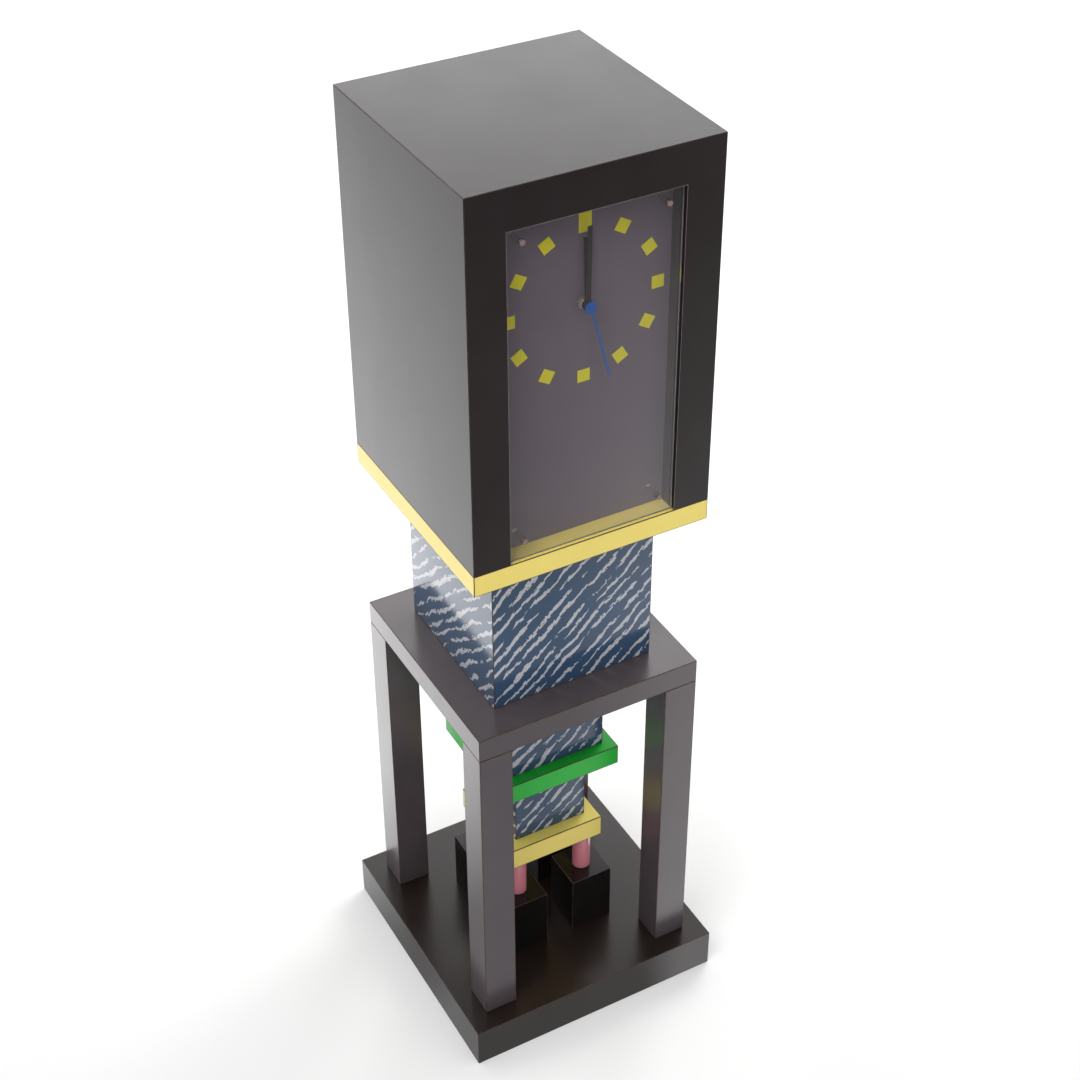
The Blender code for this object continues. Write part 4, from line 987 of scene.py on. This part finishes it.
@dataclass
class Dial:
    """Dial board with its hour squares, and the washer and nut that hold it.

    A ridge's corners are outwards and sideways; a tooth's are shares of its step and of the radius.
    """

    bush_hole: float = 5.1 * MM
    teeth: int = 14
    tooth: Pairs = ((0.05, 1.0), (0.55, 1.0), (0.68, 0.74), (0.92, 0.74))
    ridges: int = 11
    ridge: Pairs = ((5.3 * MM, -0.6 * MM), (8.3 * MM, -1.2 * MM), (8.3 * MM, 1.2 * MM), (5.3 * MM, 0.6 * MM))
    serration: float = 0.6 * MM
    reach: float = 119 * MM
    side: float = 20 * MM
    tall: float = 46 * MM
    raised: float = 0.5 * MM
    sunk: float = 0.02 * MM
    fine_ease: float = 0.12 * MM
    washer_ease: float = 0.15 * MM
    board_ease: float = 0.2 * MM
    nut_ease: float = 0.3 * MM

    def hole(self, centre: Vector) -> Spots:
        """Outline of the hole that the movement's bush passes through."""
        return ring(self.bush_hole, ROUND_STEPS, centre)

    def square(self, hour: int, centre: Vector, face: float) -> Piece:
        """Makes one hour square, turned to point at the centre.

        Args:
            hour: The hour, 1 to 12.
            centre: Centre of the dial.
            face: Depth of the dial board's face.

        Returns:
            The new object.
        """
        turn = math.radians(30 * hour)
        tall = self.tall if hour == 12 else self.side
        reach = self.reach + (tall - self.side) / 2
        points = []
        for across, up in ((-1, -1), (1, -1), (1, 1), (-1, 1)):
            x, z = across * self.side / 2, reach + up * tall / 2
            points.append((centre.x + x * math.cos(turn) + z * math.sin(turn),
                           centre.z - x * math.sin(turn) + z * math.cos(turn)))
        return plate(f"hour_square_{hour:02d}", [points], face - self.raised, face - self.sunk, self.fine_ease,
                     SQUARE_YELLOW)

    def washer(self) -> None:
        """Makes the toothed lock washer under the nut."""
        low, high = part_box("dial_washer")
        centre, radius = (low + high) / 2, (high.x - low.x) / 2
        outline = []
        for tooth in range(self.teeth):
            for share, reach in self.tooth:
                turn, out = 2.0 * math.pi * (tooth + share) / self.teeth, radius * reach
                outline.append((centre.x + out * math.cos(turn), centre.z + out * math.sin(turn)))
        loops = [outline, self.hole(centre)]
        washer = plate("dial_washer_piece", loops, low.y, high.y, self.washer_ease, NICKEL)
        settle(washer, Body.CASE, "nickel", "dial_washer")

    def nut(self) -> None:
        """Makes the hexagon nut and the serrations on its face, painted pale as highlights."""
        low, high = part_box("dial_nut")
        centre = (low + high) / 2
        seat = low.y + self.serration
        outline = ring((high.x - low.x) / 2, 6, centre)
        body = plate("dial_nut_body", [outline, self.hole(centre)], seat, high.y, self.nut_ease, NICKEL)
        settle(body, Body.CASE, "nickel", "dial_nut")
        ridges = []
        for step in range(self.ridges):
            turn = 2.0 * math.pi * step / self.ridges
            out = Vector((math.cos(turn), math.sin(turn)))
            side = Vector((-out.y, out.x))
            ridges.append([(centre.x + r * out.x + w * side.x, centre.z + r * out.y + w * side.y)
                           for r, w in self.ridge])
        # Painted highlight: the ridges are pale so that the nut shows bright glints.
        serrations = plate("dial_nut_serrations", ridges, low.y, seat, self.fine_ease, SERRATION_HIGHLIGHT)
        settle(serrations, Body.CASE, "nickel")

    def build(self) -> None:
        """Makes the board, its twelve squares, the washer and the nut."""
        low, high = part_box("dial_panel")
        centre = sum(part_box("dial_washer"), Vector()) / 2
        face = low.y + self.raised
        outline = [(low.x, low.z), (high.x, low.z), (high.x, high.z), (low.x, high.z)]
        board = plate("dial_board", [outline, self.hole(centre)], face, high.y, self.board_ease, DIAL_GREY)
        settle(board, Body.CASE, "dial_laminate", "dial_panel")
        for hour in range(1, 13):
            settle(self.square(hour, centre, face), Body.CASE, "yellow_laminate")
        self.washer()
        self.nut()


@dataclass
class Glazing:
    """Glass pane on its four stand-off pins."""

    pins: tuple[str, ...] = ("top_left", "top_right", "bottom_left", "bottom_right")
    ground_line: float = 0.05 * MM
    sawn_depth: float = 1.5 * MM

    def pin(self, node: str) -> Piece:
        """Makes one clear pin with its sawn front end.

        Args:
            node: Solid that gives its shape.

        Returns:
            The new object.
        """
        form = clean_copy(node)
        front = min(vert.co.y for vert in form.verts)
        for face in form.faces:
            if face.normal.y < -0.2 and face.calc_center_median().y < front + self.sawn_depth:
                face.material_index = 1
        return smoothed(finished(node + "_piece", form, ACRYLIC, ACRYLIC_END))

    def build(self) -> None:
        """Makes the pane and its pins."""
        pane = laminated("glass_pane_piece", "glass_pane", self.ground_line, GLASS, GLASS_EDGE)
        settle(pane, Body.CASE, "clear_glass", "glass_pane")
        for pin in self.pins:
            node = "glass_pin_" + pin
            settle(self.pin(node), Body.CASE, "clear_acrylic", node)


@dataclass
class Hands:
    """Hour, minute and second hands."""

    ease: float = 0.2 * MM

    def build(self) -> None:
        """Makes the three hands."""
        for node, body, finish, slot in (
            ("hour_hand", Body.HOUR, HAND_BLACK, "hand_black"),
            ("minute_hand", Body.MINUTE, HAND_BLACK, "hand_black"),
            ("second_hand", Body.SECOND, HAND_BLUE, "hand_blue"),
        ):
            settle(recast(node, finish, self.ease), body, slot, node)


@dataclass
class Movement:
    """The quartz movement behind the dial."""

    turns: int = 30
    wire: float = 0.16 * MM
    dip: float = 2.4
    core: float = 1.9 * MM
    flange: float = 0.8 * MM
    coil_steps: int = 40
    board_thickness: float = 0.82 * MM

    def winding(self) -> Piece:
        """Makes the motor's coil as rows of wire between two smooth ends.

        Returns:
            The new object.
        """
        low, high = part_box("coil")
        radius, length = (high.z - low.z) / 2, high.x - low.x
        start = Vector((low.x, (low.y + high.y) / 2, (low.z + high.z) / 2))
        pitch = (length - 2 * self.flange) / self.turns
        valley, inner = radius - self.dip * self.wire, length - self.flange
        profile = [(self.core, 0.0), (radius, 0.0), (radius, self.flange)]
        for row in range(self.turns):
            at = self.flange + row * pitch
            profile += [(valley, at + 0.05 * pitch), (radius - self.wire, at + 0.5 * pitch)]
        profile += [(valley, inner), (radius, inner), (radius, length), (self.core, length), (self.core, 0.0)]
        return turned("coil_winding", profile, start, Vector((1.0, 0.0, 0.0)), self.coil_steps, COPPER)

    def build(self) -> None:
        """Makes every piece of the movement."""
        low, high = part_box("battery_cell")
        jacket = CellJacket("cell_jacket_film", paint(38, 62, 128), paint(196, 160, 84), paint(188, 186, 182),
                            low.x, high.x)
        board_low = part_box("circuit_board")[0]
        circuit = CircuitBoard("board_green_mask", paint(22, 96, 52), paint(54, 128, 70), paint(26, 26, 28),
                               board_low.y + self.board_thickness)
        for finish, slot, rides in (
            (CASE_BLACK, "movement_black", {
                "movement_case": Body.CASE, "movement_cover": Body.CASE, "setting_knob": Body.SETTING,
            }),
            (GEAR_WHITE, "gear_white", {
                "minute_wheel": Body.SETTING, "centre_wheel": Body.CENTRE, "third_wheel": Body.THIRD,
                "seconds_wheel": Body.SECOND, "reduction_wheel": Body.REDUCTION, "train_bridge": Body.CASE,
            }),
            (BRASS, "gear_brass", {"hour_wheel": Body.HOUR, "cannon_pinion": Body.MINUTE}),
            (MOTOR_STEEL, "motor_steel", {
                "rotor": Body.ROTOR, "stator": Body.CASE, "contact_positive": Body.CASE,
                "contact_negative": Body.CASE,
            }),
            (jacket, "cell_jacket", {"battery_cell": Body.CELL}),
            (circuit, "board_green", {"circuit_board": Body.CASE}),
        ):
            for node, body in rides.items():
                settle(recast(node, finish), body, slot, node)
        settle(self.winding(), Body.CASE, "coil_copper", "coil")


# ---- studio

@dataclass
class Studio:
    """White floor and surroundings, plain soft light and the camera.

    The wall is the brightness that gloss mirrors at each height of the ray, and its turn makes it brighter at the
    back. Each lamp has its name, place, the point that it faces and its power in watts.
    """

    floor_side: float = 40.0
    floor_drop: float = 0.3 * MM
    eye: Triple = (-1.21531, -2.24137, 2.79518)
    look: Triple = (0.39755833, 0.70945841, -0.58190733)
    lens: float = 66.88
    sensor: float = 36.0
    shift: tuple[float, float] = (-0.01089, -0.0410)
    plain: float = 0.85
    wall: Pairs = (
        (0.001, 0.3), (0.2, 0.3), (0.29, 0.75), (0.34, 2.3), (0.385, 1.5), (0.41, 0.04),
        (0.55, 0.02), (0.61, 1.35), (0.67, 1.0), (0.73, 0.12), (0.999, 0.2),
    )
    wall_middle: Triple = (0.2, 0.98, 0.0)
    wall_turn: Range = (-0.5, 0.6, 0.25, 4.0)
    lamp_side: float = 1.6
    lamps: tuple[tuple[str, Triple, Triple, float], ...] = (
        ("key_lamp", (-1.8, -1.2, 3.6), (0.0, 0.0, 0.8), 40.0),
        ("back_lamp", (2.4, 1.4, 2.4), (0.0, 0.0, 0.6), 45.0),
    )

    def stand(self, data: bpy.types.ID, at: Triple, look: Vector) -> Piece:
        """Stands a camera or a lamp in its place and aims it.

        Args:
            data: The camera's or lamp's own data.
            at: Where it stands.
            look: Direction that it faces.

        Returns:
            The new object.
        """
        item = bpy.data.objects.new(data.name, data)
        item.location = at
        item.rotation_mode = "QUATERNION"
        item.rotation_quaternion = look.to_track_quat("-Z", "Y")
        return linked(item)

    def camera(self) -> None:
        """Stands the camera at its height and aims it."""
        data = bpy.data.cameras.new("studio_camera")
        data.lens = self.lens
        data.sensor_width = self.sensor
        data.shift_x, data.shift_y = self.shift
        bpy.context.scene.camera = self.stand(data, self.eye, Vector(self.look))

    def light(self) -> None:
        """Hangs the soft square lamps, which gloss doesn't mirror."""
        for name, at, aim, power in self.lamps:
            data = bpy.data.lights.new(name, "AREA")
            data.shape = "SQUARE"
            data.size = self.lamp_side
            data.energy = power
            self.stand(data, at, Vector(aim) - Vector(at)).visible_glossy = False

    def floor(self) -> None:
        """Lays the white floor a hair below the clock."""
        form = bmesh.new()
        bmesh.ops.create_grid(form, x_segments=1, y_segments=1, size=self.floor_side / 2)
        bmesh.ops.translate(form, verts=form.verts, vec=(0.0, 0.0, -self.floor_drop))
        finished("studio_floor", form, WhiteSweep("floor_white_sweep"))

    def surroundings(self) -> None:
        """Makes the world: white to the camera, plain light on the clock, a bright back wall in its gloss."""
        graph = Graph("studio_world", world=True)
        aim = graph.node("TexCoord").outputs["Generated"]
        rise = graph.node("ValToRGB", graph.split(aim)[2])
        stops = rise.color_ramp.elements
        for spot, level in self.wall:
            stops.new(spot).color = (level, level, level, 1.0)
        stops.remove(stops[0])
        stops.remove(stops[-1])
        middle = graph.node("VectorMath", aim, self.wall_middle, operation="DOT_PRODUCT").outputs["Value"]
        turn = graph.span(middle, *self.wall_turn, True)
        gloss = graph.light(graph.times(rise.outputs[0], turn))
        lit = graph.blend(graph.ray("Is Glossy Ray"), graph.light(self.plain), gloss)
        straight = graph.calc("MAXIMUM", graph.ray("Is Camera Ray"), graph.ray("Is Transmission Ray"))
        bpy.context.scene.world = graph.close(graph.blend(straight, lit, graph.light(1.0)))

    def build(self) -> None:
        """Sets up the whole studio."""
        bpy.context.scene.view_settings.view_transform = "Standard"
        self.floor()
        self.surroundings()
        self.light()
        self.camera()


def clear_scene() -> None:
    """Removes whatever the new file holds."""
    for piece in list(bpy.data.objects):
        bpy.data.objects.remove(piece)


def main() -> None:
    """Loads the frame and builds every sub-assembly in order."""
    logging.basicConfig(level=logging.INFO, format="%(name)s: %(message)s")
    clear_scene()
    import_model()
    for assembly in (Pedestal(), Head(), Dial(), Glazing(), Hands(), Movement(), Studio()):
        LOG.info("building %s", type(assembly).__name__)
        assembly.build()


if __name__ == "__main__":
    main()
